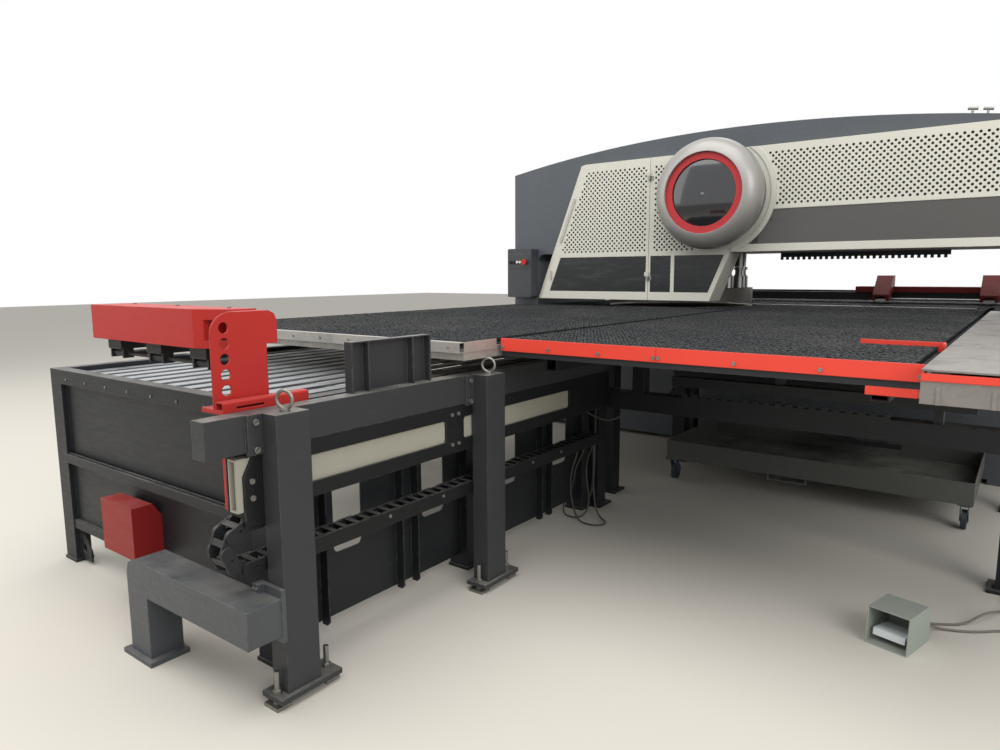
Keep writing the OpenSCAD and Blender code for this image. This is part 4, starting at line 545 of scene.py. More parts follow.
def own_finishes(shared: dict[str, Finish]) -> dict[str, Finish]:
    """Lists the nodes whose coat differs from the rest of their slot.

    Args:
        shared: Finishes by slot name.

    Returns:
        Finishes by node name.
    """
    frame, rail, red = (shared[slot] for slot in ("frame_paint", "rail_paint", "arm_red"))
    return {
        # Finer, darker texture paint on the control box and the knee.
        "control_box": replace(
            frame, name="control_box_enamel", coat="#404346", shade="#36393c", peel=0.4),
        "knee_frame": replace(frame, name="knee_enamel", coat="#4c4f53", shade="#3f4346"),
        # Painted shade: the stand, the guide plate and the stacker take the rail's charcoal darkened to
        # near black, for the shade low under the tables, where little rubs it.
        "table_stand": replace(
            rail, name="stand_painted_shade", coat="#1e2023", shade="#191b1d", edge_wear=0.4,
            scuffs=0.12, dusting=0.35),
        "guide_plate": replace(
            rail, name="guide_painted_shade", coat="#16181a", shade="#121315", edge_wear=0.5, scuffs=0.1,
            dusting=0.3),
        "stacking_table": replace(
            rail, name="stacker_painted_shade", coat="#25272a", shade="#1d1f21", scuffs=0.2, dusting=0.4),
        "junction_box": replace(red, name="junction_box_red", coat="#9b2b28", shade="#8c2623"),
    }


@dataclass(frozen=True)
class Lamp:
    """One soft square lamp: its place and aim, its side in metres and its power in watts."""

    name: str
    place: tuple[float, float, float]
    aim: tuple[float, float, float]
    side: float
    watts: float


@dataclass
class Studio:
    """Camera, lamps, floor and the white surround."""

    camera_place: Vector = field(default_factory=lambda: row(1714.0, -5072.0, 1170.0))
    pitch_deg: float = 8.0899
    yaw_deg: float = 36.9266
    roll_deg: float = -0.2517
    lens_mm: float = 25.541
    clip_end: float = 200.0
    hung: tuple[Lamp, ...] = (
        Lamp("over", (-0.5, -3.0, 6.5), (0.0, -0.6, 0.5), 7.0, 365.0),
        Lamp("side", (6.5, -5.0, 4.2), (0.0, -1.0, 0.6), 4.5, 200.0),
        Lamp("left", (-6.5, -4.5, 3.6), (-0.5, -1.5, 0.6), 4.5, 75.0),
        Lamp("rear", (0.5, 7.5, 5.0), (0.0, 1.0, 0.8), 5.0, 150.0))
    floor_size: float = 60.0
    floor_colour: str = "#d7d1c5"
    floor_rough: float = 0.85
    air_colour: str = "#e9ecf0"
    air_strength: float = 0.66

    def build(self) -> None:
        """Makes the camera, the lamps, the floor and the world."""
        self.camera()
        self.lamps()
        self.floor()
        self.world()
        bpy.context.scene.view_settings.view_transform = "Standard"

    def camera(self) -> None:
        """Places the camera where the photograph was taken."""
        pitch, yaw, roll = (math.radians(a) for a in (self.pitch_deg, self.yaw_deg, self.roll_deg))
        forward = Vector((-math.sin(yaw) * math.cos(pitch), math.cos(yaw) * math.cos(pitch),
                          -math.sin(pitch)))
        level = Vector((math.cos(yaw), math.sin(yaw), 0.0))
        upright = level.cross(forward)
        right = level * math.cos(roll) + upright * math.sin(roll)
        up = upright * math.cos(roll) - level * math.sin(roll)
        turn = Matrix((right, up, -forward)).transposed().to_4x4()
        data = bpy.data.cameras.new("photo_camera")
        data.lens = self.lens_mm
        data.sensor_fit = "HORIZONTAL"
        data.clip_end = self.clip_end
        camera = placed("photo_camera", data)
        camera.matrix_world = Matrix.Translation(self.camera_place) @ turn
        bpy.context.scene.camera = camera

    def lamps(self) -> None:
        """Hangs the soft lamps."""
        for plan in self.hung:
            data = bpy.data.lights.new(f"lamp_{plan.name}", "AREA")
            data.size = plan.side
            data.energy = plan.watts
            lamp = placed(f"lamp_{plan.name}", data)
            lamp.location = plan.place
            ray = Vector(plan.aim) - Vector(plan.place)
            lamp.rotation_euler = ray.to_track_quat("-Z", "Y").to_euler()

    def floor(self) -> None:
        """Lays a plain pale floor."""
        shape = bmesh.new()
        bmesh.ops.create_grid(shape, x_segments=1, y_segments=1, size=self.floor_size / 2)
        floor = as_object("floor", shape)
        material = bpy.data.materials.new("pale_floor")
        material.use_nodes = True
        shader = material.node_tree.nodes["Principled BSDF"]
        shader.inputs["Base Color"].default_value = linear(self.floor_colour)
        shader.inputs["Roughness"].default_value = self.floor_rough
        floor.data.materials.append(material)

    def world(self) -> None:
        """Lights the scene softly, with white where the camera sees past the floor."""
        world = bpy.data.worlds.new("studio")
        bpy.context.scene.world = world
        world.use_nodes = True
        tree = world.node_tree
        tree.nodes.clear()
        path = add(tree, "LightPath")
        mirrored = add(tree, "Math", {
            0: path.outputs["Is Camera Ray"], 1: path.outputs["Is Glossy Ray"]}, operation="MAXIMUM")
        seen = add(tree, "Math", {
            0: mirrored, 1: path.outputs["Is Transmission Ray"]}, operation="MAXIMUM")
        dim = add(tree, "Background", {"Color": linear(self.air_colour), "Strength": self.air_strength})
        white = add(tree, "Background", {"Color": linear("#ffffff"), "Strength": 1.0})
        mixed = add(tree, "MixShader", {0: seen, 1: dim, 2: white})
        add(tree, "OutputWorld", {"Surface": mixed})


def placed(name: str, data: ID) -> Object:
    """Puts a mesh, curve, lamp or camera into the scene as an object, and returns the object."""
    made = bpy.data.objects.new(name, data)
    bpy.context.scene.collection.objects.link(made)
    return made


def as_object(name: str, shape: BMesh) -> Object:
    """Turns a bmesh into an object as it is.

    Args:
        name: Name of the object and its mesh.
        shape: The bmesh, which is freed.

    Returns:
        The linked object.
    """
    mesh = bpy.data.meshes.new(name)
    shape.to_mesh(mesh)
    shape.free()
    return placed(name, mesh)


def rectangle(x0: float, x1: float, z0: float, z1: float) -> Outline:
    """Gives the corners of a rectangle from its sides in X and Z."""
    return [(x0, z0), (x1, z0), (x1, z1), (x0, z1)]


def prism(name: str, outline: Outline, y0: float, y1: float) -> Object:
    """Makes a plate from an outline drawn in X and Z.

    Args:
        name: Name of the object.
        outline: Corners in machine millimetres.
        y0: Front of the plate.
        y1: Back of the plate.

    Returns:
        The plate, at the origin with its place in its mesh.
    """
    shape = bmesh.new()
    face = shape.faces.new([shape.verts.new(row(x, y0, z)) for x, z in outline])
    pulled = bmesh.ops.extrude_face_region(shape, geom=[face])["geom"]
    bmesh.ops.translate(shape, vec=(0.0, (y1 - y0) * MM, 0.0),
                        verts=[v for v in pulled if isinstance(v, BMVert)])
    return finished(name, shape)


def finished(name: str, shape: BMesh) -> Object:
    """Turns a bmesh into an object, as as_object does, with its faces outward."""
    bmesh.ops.recalc_face_normals(shape, faces=shape.faces)
    return as_object(name, shape)


def carve(body: Object, tool: Object, operation: str = "DIFFERENCE") -> None:
    """Cuts one solid with another, and removes the tool.

    Args:
        body: Solid that stays.
        tool: Solid that is used up.
        operation: Blender's name of the operation.
    """
    cut = body.modifiers.new("cut", "BOOLEAN")
    cut.operation = operation
    cut.solver = "MANIFOLD"
    cut.object = tool
    graph = bpy.context.evaluated_depsgraph_get()
    baked = bpy.data.meshes.new_from_object(body.evaluated_get(graph))
    body.modifiers.clear()
    old, body.data = body.data, baked
    bpy.data.meshes.remove(old)
    bpy.data.objects.remove(tool)


def merge(name: str, parts: list[Object]) -> Object:
    """Joins solids that belong to one piece.

    Args:
        name: Name of the joined object.
        parts: Solids, which are used up.

    Returns:
        One object with every solid in it.
    """
    shape = bmesh.new()
    for part in parts:
        shape.from_mesh(part.data)
    for part in parts:
        bpy.data.objects.remove(part)
    return as_object(name, shape)


def disc(radius: float, sides: int = 96) -> Outline:
    """Gives the corners of a circle round the drive's middle.

    Args:
        radius: Radius in millimetres.
        sides: Number of corners.

    Returns:
        Corners in X and Z.
    """
    steps = (2 * math.pi * i / sides for i in range(sides))
    return [(radius * math.cos(a), DRIVE_Z + radius * math.sin(a)) for a in steps]


def rods(name: str, places: list[Matrix], radius: float, length: float, sides: int) -> Object:
    """Makes round rods of one size.

    Args:
        name: Name of the object.
        places: Middle and turn of each rod, which lies along its own Z.
        radius: Radius in millimetres.
        length: Length in millimetres.
        sides: Sides of a rod.

    Returns:
        All rods in one object.
    """
    shape = bmesh.new()
    for place in places:
        bmesh.ops.create_cone(shape, cap_ends=True, segments=sides, radius1=radius * MM,
                              radius2=radius * MM, depth=length * MM, matrix=place)
    return finished(name, shape)


@dataclass
class Covers:
    """The perforated sheet covers on the front of the bridge."""

    materials: Materials
    face_y: float = -450.0
    back_y: float = -402.0
    tray_y: float = -400.0
    sheet_t: float = 4.0
    foot_z: float = 985.0
    top_z: float = 1953.0
    door_foot_x: float = -1413.0
    door_top_x: float = -1036.0
    door_x: float = -465.0
    bevel_w: float = 62.0
    middle_x: tuple[float, float] = (-462.0, 110.0)
    middle_foot_x: float = -21.0
    bar_z: tuple[float, float] = (1306.0, 1353.0)
    long_top_z: float = 1564.0
    right_x: tuple[float, float] = (111.0, 1780.0)
    window_z: tuple[float, float] = (1042.0, 1290.0)
    band_r: tuple[float, float] = (352.0, 384.0)
    hole_r: float = 7.5
    hole_pitch: float = 36.0
    hole_sides: int = 12
    field_z: tuple[float, float] = (1330.0, 1905.0)
    guard_l: float = 150.0
    rim_lap: float = 0.5
    rim_start: float = 2.0

    # Door: from its bevel and from its hinge side, to the window and to the first holes.
    door_window: tuple[float, float] = (50.0, 16.0)
    door_field: tuple[float, float] = (42.0, 30.0)

    # Hinge knuckles: height of their feet, and the pin's distance before the face.
    knuckle_z: tuple[float, float] = (1150.3, 1830.3)
    pin_out: float = 10.0

    # Middle cover: sides of the small windows, the last one's distance from the slanting edge,
    # then the start of the holes and the number of their columns.
    small_window: tuple[float, float] = (14.0, 164.0)
    last_window: tuple[float, float] = (190.0, 34.0)
    middle_field: tuple[float, int] = (24.0, 9)

    # Right cover: from its ends to the window and to the holes, and the holes over the window.
    long_window: tuple[float, float] = (19.0, 51.0)
    long_field: tuple[float, float] = (110.0, 60.0)
    over_window: float = 34.0

    # Band round the drive: its rise over the face, and the holes' distance inside and outside.
    band_rise: float = 6.0
    band_clear: tuple[float, float] = (10.0, 9.0)

    def build(self) -> list[Object]:
        """Makes the three covers.

        Returns:
            The cover pieces.
        """
        return [self.place(self.door(), "turret_door", "turret_door"),
                self.place(self.middle(), "machine", "middle_cover"),
                self.place(self.right(), "machine", "right_cover")]

    def place(self, piece: Object, body: str, node: str) -> Object:
        """Puts a cover on its body in place of its CAD node.

        Args:
            piece: The cover.
            body: Body that it moves with.
            node: CAD node that it stands for.

        Returns:
            The same cover.
        """
        piece.data.materials.clear()
        piece.data.materials.append(self.materials["cover_paint"])
        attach(piece, body)
        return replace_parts(piece, node)

    def slope_x(self, z: float) -> float:
        """Gives the X of the door's sloping edge at a height."""
        share = (z - self.foot_z) / (self.top_z - self.foot_z)
        return self.door_foot_x + share * (self.door_top_x - self.door_foot_x)

    def staggered(self, left: Callable[[float], float], right: Callable[[float], float], z0: float,
                  z1: float, keep: Callable[[float, float], bool] = lambda x, z: True) -> Outline:
        """Lists the centres of staggered perforations.

        Args:
            left: Function that gives the field's left edge at a height.
            right: Function that gives its right edge at a height.
            z0: Lowest row.
            z1: Highest row.
            keep: Test that a centre has to pass.

        Returns:
            X and Z of every hole.
        """
        half = self.hole_pitch / 2
        centres = []
        for j in range(int((z1 - z0) / half) + 1):
            z = z0 + j * half
            x = right(z) - (j % 2) * half
            while x > left(z):
                if keep(x, z):
                    centres.append((x, z))
                x -= self.hole_pitch
        return centres

    def pocketed(self, name: str, outline: Outline, inner: Outline) -> Object:
        """Makes a tray-like cover: a face with a rim that runs back.

        Args:
            name: Name of the object.
            outline: Corners of the cover.
            inner: Corners inside its rim.

        Returns:
            The cover without openings.
        """
        body = prism(name, outline, self.face_y, self.tray_y)
        carve(body, prism("pocket", inner, self.face_y + self.sheet_t, self.tray_y + PAST))
        return body

    def cutter(self, name: str, outline: Outline, past: float = PAST) -> Object:
        """Makes a tool of an outline that reaches through a cover's face, and past it on both sides."""
        return prism(name, outline, self.face_y - past, self.face_y + past)

    def perforate(self, body: Object, centres: Outline) -> None:
        """Cuts the perforations through a cover's face.

        Args:
            body: The cover.
            centres: X and Z of every hole.
        """
        across = Matrix.Rotation(math.pi / 2, 4, "X")
        places = [Matrix.Translation(row(x, self.face_y, z)) @ across for x, z in centres]
        carve(body, rods("holes", places, self.hole_r, 2 * PAST, self.hole_sides))

    def door(self) -> Object:
        """Makes the turret door.

        Returns:
            A folded sheet with rims and two hinge knuckles.
        """
        t, depth, rise = self.sheet_t, self.back_y - self.face_y, self.top_z - self.foot_z
        start, top_start = self.door_foot_x + self.bevel_w, self.door_top_x + self.bevel_w
        slanted_t = 1.7 * t
        fold = [(start - self.bevel_w, depth), (start - self.bevel_w + slanted_t, depth), (start + t, t),
                (self.door_x, t), (self.door_x, 0.0), (start, 0.0)]
        shape = bmesh.new()
        face = shape.faces.new([shape.verts.new(row(x, self.face_y + y, self.foot_z)) for x, y in fold])
        top = [v for v in bmesh.ops.extrude_face_region(shape, geom=[face])["geom"]
               if isinstance(v, BMVert)]
        bmesh.ops.translate(shape, vec=(0.0, 0.0, rise * MM), verts=top)
        sloped = [v for v in top if v.co.x < row(self.door_x - 1, 0, 0).x]
        lean = (self.door_top_x - self.door_foot_x) * MM
        bmesh.ops.translate(shape, vec=(lean, 0.0, 0.0), verts=sloped)
        folded = finished("folded", shape)
        z0, z1 = self.window_z
        inset, margin = self.door_window
        carve(folded, self.cutter("opening", [
            (self.slope_x(z0) + self.bevel_w + inset, z0), (self.door_x - margin, z0),
            (self.door_x - margin, z1), (self.slope_x(z1) + self.bevel_w + inset, z1)]))
        self.perforate(folded, self.staggered(
            lambda z: self.slope_x(z) + self.bevel_w + self.door_field[0],
            lambda z: self.door_x - self.door_field[1], *self.field_z))
        inner_x = self.door_x - t
        rims = {"foot_rim": (start + self.rim_start, inner_x, self.foot_z, self.foot_z + t),
                "top_rim": (top_start + self.rim_start, inner_x, self.top_z - t, self.top_z),
                "side_rim": (inner_x, self.door_x, self.foot_z, self.top_z)}
        parts = [folded] + [prism(name, rectangle(*sides), self.face_y + t - self.rim_lap, self.back_y)
                            for name, sides in rims.items()]
        return merge("door_cover", parts + [self.knuckle(z) for z in self.knuckle_z])

    def knuckle(self, z: float) -> Object:
        """Makes one bored hinge knuckle with its leaf.

        Args:
            z: Height of the knuckle's foot.

        Returns:
            The knuckle.
        """
        length, radius, bore, sides = 30.0, 8.0, 4.1, 24
        gap, leaf_w, leaf_t, leaf_lap, web_t, web_out = 3.0, 23.0, 3.0, 0.2, 3.0, 8.0
        edge = self.door_x - gap
        axis = [Matrix.Translation(row(self.door_x, self.face_y - self.pin_out, z + length / 2))]
        body = rods("knuckle", axis, radius, length, sides)
        carve(body, prism("web", rectangle(edge - web_t, edge, z, z + length), self.face_y - web_out,
                          self.face_y), "UNION")
        carve(body, prism("leaf", rectangle(edge - leaf_w, edge, z, z + length), self.face_y - leaf_t,
                          self.face_y + leaf_lap), "UNION")
        carve(body, rods("bore", axis, bore, 2 * length, sides))
        return body

    def middle(self) -> Object:
        """Makes the middle cover.

        Returns:
            The sheet with its two small windows, the field left of the drive and the guard below.
        """
        (x0, x1), foot, t, z0 = self.middle_x, self.middle_foot_x, self.sheet_t, self.foot_z
        bar = self.bar_z[0]
        body = self.pocketed(
            "middle_sheet", [(x0, z0), (foot, z0), (x1, bar), (x1, self.top_z), (x0, self.top_z)],
            [(x0 + t, z0 + t), (foot - t, z0 + t), (x1 - 2 * t, bar + t), (x1 - 2 * t, self.top_z - t),
             (x0 + t, self.top_z - t)])
        w0, w1 = self.window_z
        last_x, slant_w = x0 + self.last_window[0], self.last_window[1]
        edge = [foot + (z - z0) * (x1 - foot) / (bar - z0) - slant_w for z in (w0, w1)]
        near, far = (x0 + side for side in self.small_window)
        carve(body, self.cutter("opening", rectangle(near, far, w0, w1)))
        carve(body, self.cutter("opening", [(last_x, w0), (edge[0], w0), (edge[1], w1), (last_x, w1)]))
        first_x, columns = x0 + self.middle_field[0], self.middle_field[1]
        self.perforate(body, self.staggered(
            lambda z: first_x, lambda z: first_x + columns * self.hole_pitch, *self.field_z,
            keep=lambda x, z: math.hypot(x, z - DRIVE_Z) > self.band_r[0] + self.band_clear[0]))
        guard = prism("guard", [(foot - t, z0), (foot, z0), (x1, bar), (x1 - 2 * t, bar)],
                      self.tray_y, self.tray_y + self.guard_l)
        return merge("middle_cover_sheet", [body, guard])

    def right(self) -> Object:
        """Makes the long right cover.

        Returns:
            The sheet with its window, its field and the raised band round the drive.
        """
        (x0, x1), (bar0, bar1), t = self.right_x, self.bar_z, self.sheet_t
        inner_r, outer_r = self.band_r
        outline = rectangle(x0, x1, bar0, self.top_z)
        body = self.pocketed("right_sheet", outline, rectangle(x0 + t, x1 - t, bar0 + t, self.top_z - t))
        window = self.cutter("opening", rectangle(
            x0 + self.long_window[0], x1 - self.long_window[1], bar1, self.long_top_z))
        carve(window, self.cutter("round", disc(outer_r), 2 * PAST))
        carve(body, window)
        self.perforate(body, self.staggered(
            lambda z: x0 + self.long_field[0], lambda z: x1 - self.long_field[1],
            self.long_top_z + self.over_window, self.field_z[1],
            keep=lambda x, z: math.hypot(x, z - DRIVE_Z) > outer_r + self.band_clear[1]))
        band = prism("band", disc(outer_r), self.face_y - self.band_rise, self.face_y)
        carve(band, self.cutter("inside", disc(inner_r), 2 * PAST))
        carve(band, self.cutter("clip", outline, 2 * PAST), "INTERSECT")
        return merge("right_cover_sheet", [body, band])


@dataclass
class BrushField:
    """One table's bristle tufts, in staggered rows on a thin base."""

    name: str
    x: tuple[float, float]
    y: tuple[float, float]
    pitch: float = 15.0
    base_z: float = 911.0
    base_t: float = 5.0
    tip_z: float = 935.0
    lean: float = 2.0
    shrink: float = 2.5
    sides: int = 4
    row_share: float = 0.87
    radii: tuple[float, float] = (0.22, 0.47)
    clear_of: tuple[float, float, float] | None = None
    clearance: float = 14.0

    def build(self, material: Material) -> Object:
        """Makes the tufts of one table.

        A tuft is a small cone on its tip: its radii and the rows' distance are shares of the pitch.

        Args:
            material: Bristle material.

        Returns:
            The brush piece.
        """
        shape = bmesh.new()
        (x0, x1), (y0, y1) = self.x, self.y
        height = self.tip_z - self.base_z - self.base_t
        step = self.pitch * self.row_share
        foot_r, tip_r = (self.pitch * share * MM for share in self.radii)
        for i in range(int((x1 - x0 - self.pitch) / self.pitch)):
            spot = row(x0 + self.pitch * (i + 0.5), y0 + self.pitch / 2, self.tip_z - height / 2)
            turn = Matrix.Rotation(random.uniform(0.0, math.pi), 4, "Z")
            bmesh.ops.create_cone(shape, cap_ends=True, segments=self.sides, radius1=foot_r,
                                  radius2=tip_r, depth=height * MM,
                                  matrix=Matrix.Translation(spot) @ turn)
        first = list(shape.verts) + list(shape.edges) + list(shape.faces)
        for j in range(1, int((y1 - y0 - self.pitch / 2) / step)):
            copied = bmesh.ops.duplicate(shape, geom=first)["geom"]
            bmesh.ops.translate(shape, vec=((j % 2) * self.pitch / 2 * MM, j * step * MM, 0.0),
                                verts=[g for g in copied if isinstance(g, BMVert)])
        self.ruffle(shape)
        if self.clear_of is None:
            base = bmesh.ops.create_cube(shape, size=1.0)["verts"]
            middle = row((x0 + x1) / 2, (y0 + y1) / 2, self.base_z + self.base_t / 2)
            size = Vector((x1 - x0, y1 - y0, self.base_t)) * MM
            bmesh.ops.transform(shape, matrix=Matrix.Translation(middle) @ Matrix.Diagonal((*size, 1.0)),
                                verts=base)
        piece = as_object(self.name, shape)
        piece.data.materials.append(material)
        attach(piece, "machine")
        return piece

    def ruffle(self, shape: BMesh) -> None:
        """Leans every tuft a little, and drops those inside the turret's opening.

        Args:
            shape: Mesh with whole tufts only.
        """
        per_tuft = 2 * self.sides
        verts = list(shape.verts)
        drop = []
        top = (self.tip_z - 1) * MM
        centre, reach = Vector(), 0.0
        if self.clear_of is not None:
            x, y, radius = self.clear_of
            centre, reach = row(x, y, 0.0), (radius + self.clearance) * MM
        for start in range(0, len(verts), per_tuft):
            tuft = verts[start:start + per_tuft]
            lean = Vector((random.gauss(0, 1), random.gauss(0, 1), 0.0)) * self.lean * MM
            shrink = random.uniform(0.0, self.shrink) * MM
            if (tuft[0].co.xy - centre.xy).length < reach:
                drop.extend(tuft)
                continue
            for vert in tuft:
                if vert.co.z > top:
                    vert.co += lean
                    vert.co.z -= shrink * random.uniform(0.5, 1.0)
        bmesh.ops.delete(shape, geom=drop, context="VERTS")


def lay_brushes(material: Material) -> list[Object]:
    """Lays the brush fields in place of the solid rows.

    Args:
        material: Bristle material.

    Returns:
        The brush pieces.
    """
    turret = (-480.0, 150.0, 542.0)
    left, centre, throat = (-1594.0, 122.0), (153.0, 1501.0), (-1408.0, 1501.0)
    fields = (
        BrushField("brushes_left_front", left, (-3170.0, -1800.0)),
        BrushField("brushes_left_back", left, (-1800.0, -408.0)),
        BrushField("brushes_centre_front", centre, (-2964.0, -1700.0)),
        BrushField("brushes_centre_back", centre, (-1700.0, -408.0)),
        BrushField("brushes_throat", throat, (-396.0, 477.0), pitch=20.0, base_t=0.0, clear_of=turret),
        BrushField("brushes_throat_back", throat, (509.0, 696.0), pitch=24.0, base_t=0.0, clear_of=turret),
        BrushField("brushes_throat_side", (1505.0, 1608.0), (188.0, 696.0), pitch=20.0),
        BrushField("brushes_rear", (-1408.0, 1608.0), (708.0, 2447.0), pitch=34.0))
    pieces = [brushes.build(material) for brushes in fields]
    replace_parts(pieces[0], "brush_mats")
    return pieces


class Slots(Enum):
    """Material slots of the pieces that the scene adds."""

    CORD = "cord_rubber"
    CABLE = "cable_sheath"


def smooth_path(points: list[Vector], per_span: int) -> list[Vector]:
    """Runs a smooth curve through points.

    Args:
        points: Points that the curve passes.
        per_span: Steps between two points.

    Returns:
        Points along the curve.
    """
    path = []
    for i, (a, b) in enumerate(zip(points, points[1:])):
        before = points[max(0, i - 1)]
        after = points[min(len(points) - 1, i + 2)]
        for step in range(per_span):
            t = step / per_span
            path.append(0.5 * ((2 * a) + (b - before) * t + (2 * before - 5 * a + 4 * b - after) * t * t
                               + (3 * a - before - 3 * b + after) * t ** 3))
    path.append(points[-1])
    return path


def path_length(points: list[Vector]) -> float:
    """Adds up the distances between the points of a path."""
    return sum((b - a).length for a, b in zip(points, points[1:]))


def curve_cord(name: str, path: list[Vector], diameter: float, slot: Slots,
               materials: Materials) -> Object:
    """Makes a round cord along a path, on the machine's body.

    Args:
        name: Name of the cord.
        path: Points of its centreline.
        diameter: Its thickness in metres.
        slot: Material slot of its sheath.
        materials: Materials by slot.

    Returns:
        The cord, a curve of one open spline.
    """
    curve = bpy.data.curves.new(name, "CURVE")
    curve.dimensions = "3D"
    curve.bevel_depth = diameter / 2
    curve.bevel_resolution = 2
    curve.use_fill_caps = True
    spline = curve.splines.new("POLY")
    spline.points.add(len(path) - 1)
    for point, place in zip(spline.points, path):
        point.co = (*place, 1.0)
    cord = placed(name, curve)
    curve.materials.append(materials[slot.value])
    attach(cord, "machine")
    LOG.info("%s is %.2f m long", name, path_length(path))
    return cord


@dataclass
class LegCables:
    """The machine's own cables at the table leg: they leave it, sag and go back into it.

    A route is a name, a thickness and points in machine millimetres. Points without a Y lie in
    the plane of plane_y.
    """

    materials: Materials
    routes: tuple = (
        ("leg_cable_1", 12, (
            (60, 560), (42, 560), (26, 556), (14, 544), (8, 524), (6, 480), (5, 400), (4, 320),
            (2, 240), (-2, 160), (-8, 100), (-18, 60), (-34, 34), (-56, 26), (-78, 34), (-92, 56),
            (-100, 92), (-106, 150), (-110, 230), (-112, 310), (-112, 380), (-108, 430), (-98, 460),
            (-82, 478), (-62, 486), (-44, 488))),
        ("leg_cable_2", 9, (
            (30, -2150, 366), (28, -2150, 340), (14, -2151, 300), (-8, -2152, 255), (-24, -2152, 210),
            (-32, -2152, 165), (-42, -2153, 120), (-60, -2158, 84), (-72, -2168, 52), (-68, -2186, 24),
            (-48, -2206, 8), (-20, -2220, 5), (10, -2224, 5), (38, -2216, 8), (56, -2196, 22),
            (60, -2168, 50), (50, -2142, 90), (34, -2126, 135), (20, -2116, 185), (16, -2110, 235),
            (26, -2108, 285), (42, -2107, 325), (50, -2106, 366))),
        ("leg_cable_3", 9, (
            (14, -2186, 366), (13, -2186, 340), (4, -2188, 295), (-12, -2192, 245), (-20, -2198, 190),
            (-14, -2206, 130), (0, -2216, 80), (22, -2230, 42), (46, -2244, 16), (76, -2256, 5),
            (110, -2266, 5), (142, -2264, 5), (168, -2248, 5), (178, -2220, 5), (170, -2192, 5),
            (146, -2174, 8), (120, -2166, 22), (100, -2160, 52), (88, -2155, 100), (80, -2151, 160),
            (77, -2148, 230), (76, -2146, 300), (76, -2146, 366))),
        ("leg_cable_4", 9, (
            (-30, -2099, 566), (-30, -2116, 562), (-22, -2126, 548), (-8, -2118, 526), (6, -2098, 504),
            (24, -2072, 484), (48, -2048, 468), (76, -2028, 459), (104, -2011, 462), (128, -1997, 474),
            (144, -1988, 494), (150, -1985, 517))))
    plane_y: float = -2006.3
    per_span: int = 4

    def build(self) -> list[Object]:
        """Makes the cables.

        Returns:
            The cable pieces.
        """
        cables = []
        for name, diameter, route in self.routes:
            points = [row(*p) if len(p) == 3 else row(p[0], self.plane_y, p[1]) for p in route]
            path = smooth_path(points, self.per_span)
            cable = curve_cord(name, path, diameter * MM, Slots.CABLE, self.materials)
            cables.append(cable)
        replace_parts(cables[0], "hanging_cable")
        return cables


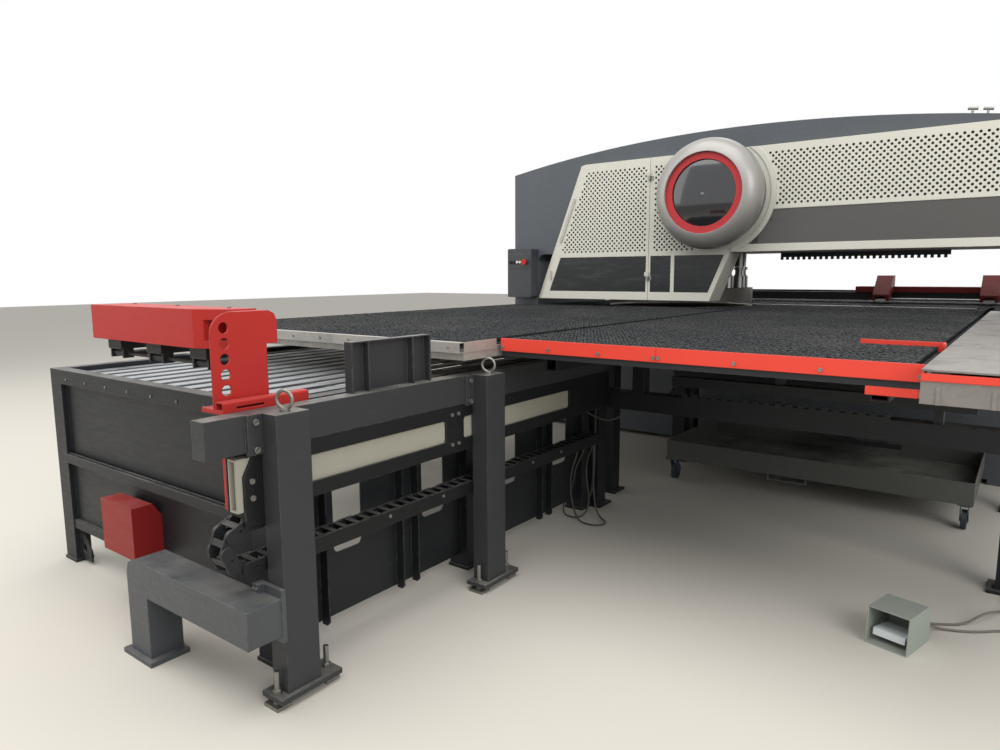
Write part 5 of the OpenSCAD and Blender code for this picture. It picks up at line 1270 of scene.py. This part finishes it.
@dataclass
class FootCords:
    """The two cords of the foot switch, each ending in a coil past the photo's edge.

    The coil has layers of turns_wide turns. Its first sixth of a turn blends from the route.
    """

    materials: Materials
    diameter: float = 8 * MM
    per_span: int = 3
    coil_r: float = 46 * MM
    turns_wide: int = 3
    layers: int = 3
    steps: int = 24
    nestle: tuple[float, float] = (0.98, 0.95)
    blend: float = 6.0
    sleeve_r: tuple[float, float] = (6.2, 4.7)
    ribs: int = 6
    rib_w: float = 0.09
    rib_r: tuple[float, float] = (7.6, 7.4)
    rib_step: float = 0.45
    routes: tuple = (
        ((1479, -2519, 34), (1485, -2496, 33), (1493, -2466, 23), (1506, -2438, 12), (1528, -2420, 6),
         (1552, -2404, 5), (1578, -2388, 5), (1602, -2368, 6), (1626, -2342, 12), (1648, -2310, 22),
         (1668, -2276, 26), (1686, -2240, 22), (1700, -2204, 13), (1712, -2168, 6), (1720, -2134, 5),
         (1725, -2101, 5)),
        ((1509, -2527, 34), (1515, -2503, 32), (1526, -2477, 22), (1542, -2454, 11), (1566, -2440, 6),
         (1594, -2428, 5), (1622, -2414, 5), (1650, -2396, 5), (1676, -2374, 5), (1700, -2352, 5),
         (1725, -2336, 5), (1740, -2312, 5)))
    coil_spots: tuple = ((1782, -2090), (1800, -2290))

    def build(self) -> list[Object]:
        """Makes the two cords and their strain reliefs.

        Returns:
            The cords and the strain reliefs, from the first cord on.
        """
        pieces = []
        for index, (route, spot) in enumerate(zip(self.routes, self.coil_spots), 1):
            path = smooth_path([row(*p) for p in route], self.per_span)
            path += self.coil(path[-1], spot)
            cord = curve_cord(f"foot_cord_{index}", path, self.diameter, Slots.CORD, self.materials)
            relief = self.relief(f"strain_relief_{index}", path[0], path[self.per_span])
            pieces += [cord, relief]
        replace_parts(pieces[0], "foot_cords", "cord_coils")
        return pieces

    def relief(self, name: str, start: Vector, end: Vector) -> Object:
        """Makes a tapered rubber strain relief with ribs round the cord's first stretch.

        Args:
            name: Name of the piece.
            start: Point where the cord leaves the housing.
            end: Point at the slim end.

        Returns:
            The strain relief.
        """
        along = end - start
        turn = along.to_track_quat("Z", "Y").to_matrix().to_4x4()
        shape = bmesh.new()
        rings = [(0.0, 1.0, *self.sleeve_r)]
        for i in range(self.ribs):
            low = i / self.ribs
            rings.append((low, low + self.rib_w, *(r - self.rib_step * i for r in self.rib_r)))
        for low, high, thick, slim in rings:
            place = Matrix.Translation(start + along * (low + high) / 2) @ turn
            bmesh.ops.create_cone(shape, cap_ends=True, segments=24, radius1=thick * MM,
                                  radius2=slim * MM, depth=(high - low) * along.length, matrix=place)
        piece = finished(name, shape)
        piece.data.materials.append(self.materials["switch_black"])
        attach(piece, "machine")
        return piece

    def coil(self, start: Vector, spot: tuple[float, float]) -> list[Vector]:
        """Winds a coil of layers that lie on each other.

        Args:
            start: Last point of the free stretch.
            spot: Centre of the coil in machine millimetres.

        Returns:
            Points of the coil's turns.
        """
        centre = row(spot[0], spot[1], 0.0)
        angle0 = math.atan2(start.y - centre.y, start.x - centre.x)
        outer = self.coil_r + 0.5 * (self.turns_wide - 1) * self.diameter
        reach = (start.xy - centre.xy).length
        across, up = self.nestle
        points = []
        for i in range(1, self.turns_wide * self.layers * self.steps + 1):
            turn = i / self.steps
            layer = int(turn / self.turns_wide)
            part = turn - layer * self.turns_wide
            inward = part if layer % 2 == 0 else self.turns_wide - part
            radius = outer - min(inward, self.turns_wide - 1) * self.diameter * across
            radius += (reach - outer) * max(0.0, 1.0 - self.blend * turn)
            height = self.diameter * (0.5 + layer * up)
            angle = angle0 - 2 * math.pi * turn
            points.append(Vector((
                centre.x + radius * math.cos(angle), centre.y + radius * math.sin(angle), height)))
        return points


def dress_frame(nodes: dict[str, Object], record: dict, materials: Materials, own: Materials) -> None:
    """Gives each CAD node its own finish, or else that of its slot.

    Args:
        nodes: CAD nodes by name.
        record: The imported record.
        materials: Materials by slot.
        own: Materials by node.
    """
    for part in record["subparts"]:
        node = nodes[part["node"]]
        node.data.materials.clear()
        node.data.materials.append(own.get(part["node"]) or materials[part["material_slot"]])


def main() -> None:
    """Builds the whole scene in order."""
    logging.basicConfig(level=logging.INFO, format="%(message)s")
    random.seed(7)
    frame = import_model()
    Studio().build()
    shared = finishes()
    materials = {slot: finish.build() for slot, finish in shared.items()}
    own = {node: finish.build() for node, finish in own_finishes(shared).items()}
    pieces = FootCords(materials).build() + LegCables(materials).build()
    pieces += Covers(materials).build() + lay_brushes(materials["brush"])
    for piece in pieces:
        LOG.info("made %s", piece.name)
    dress_frame(frame["nodes"], frame["record"], materials, own)
    bpy.context.view_layer.update()
    LOG.info("dressed %d nodes", len(frame["nodes"]))


if __name__ == "__main__":
    main()
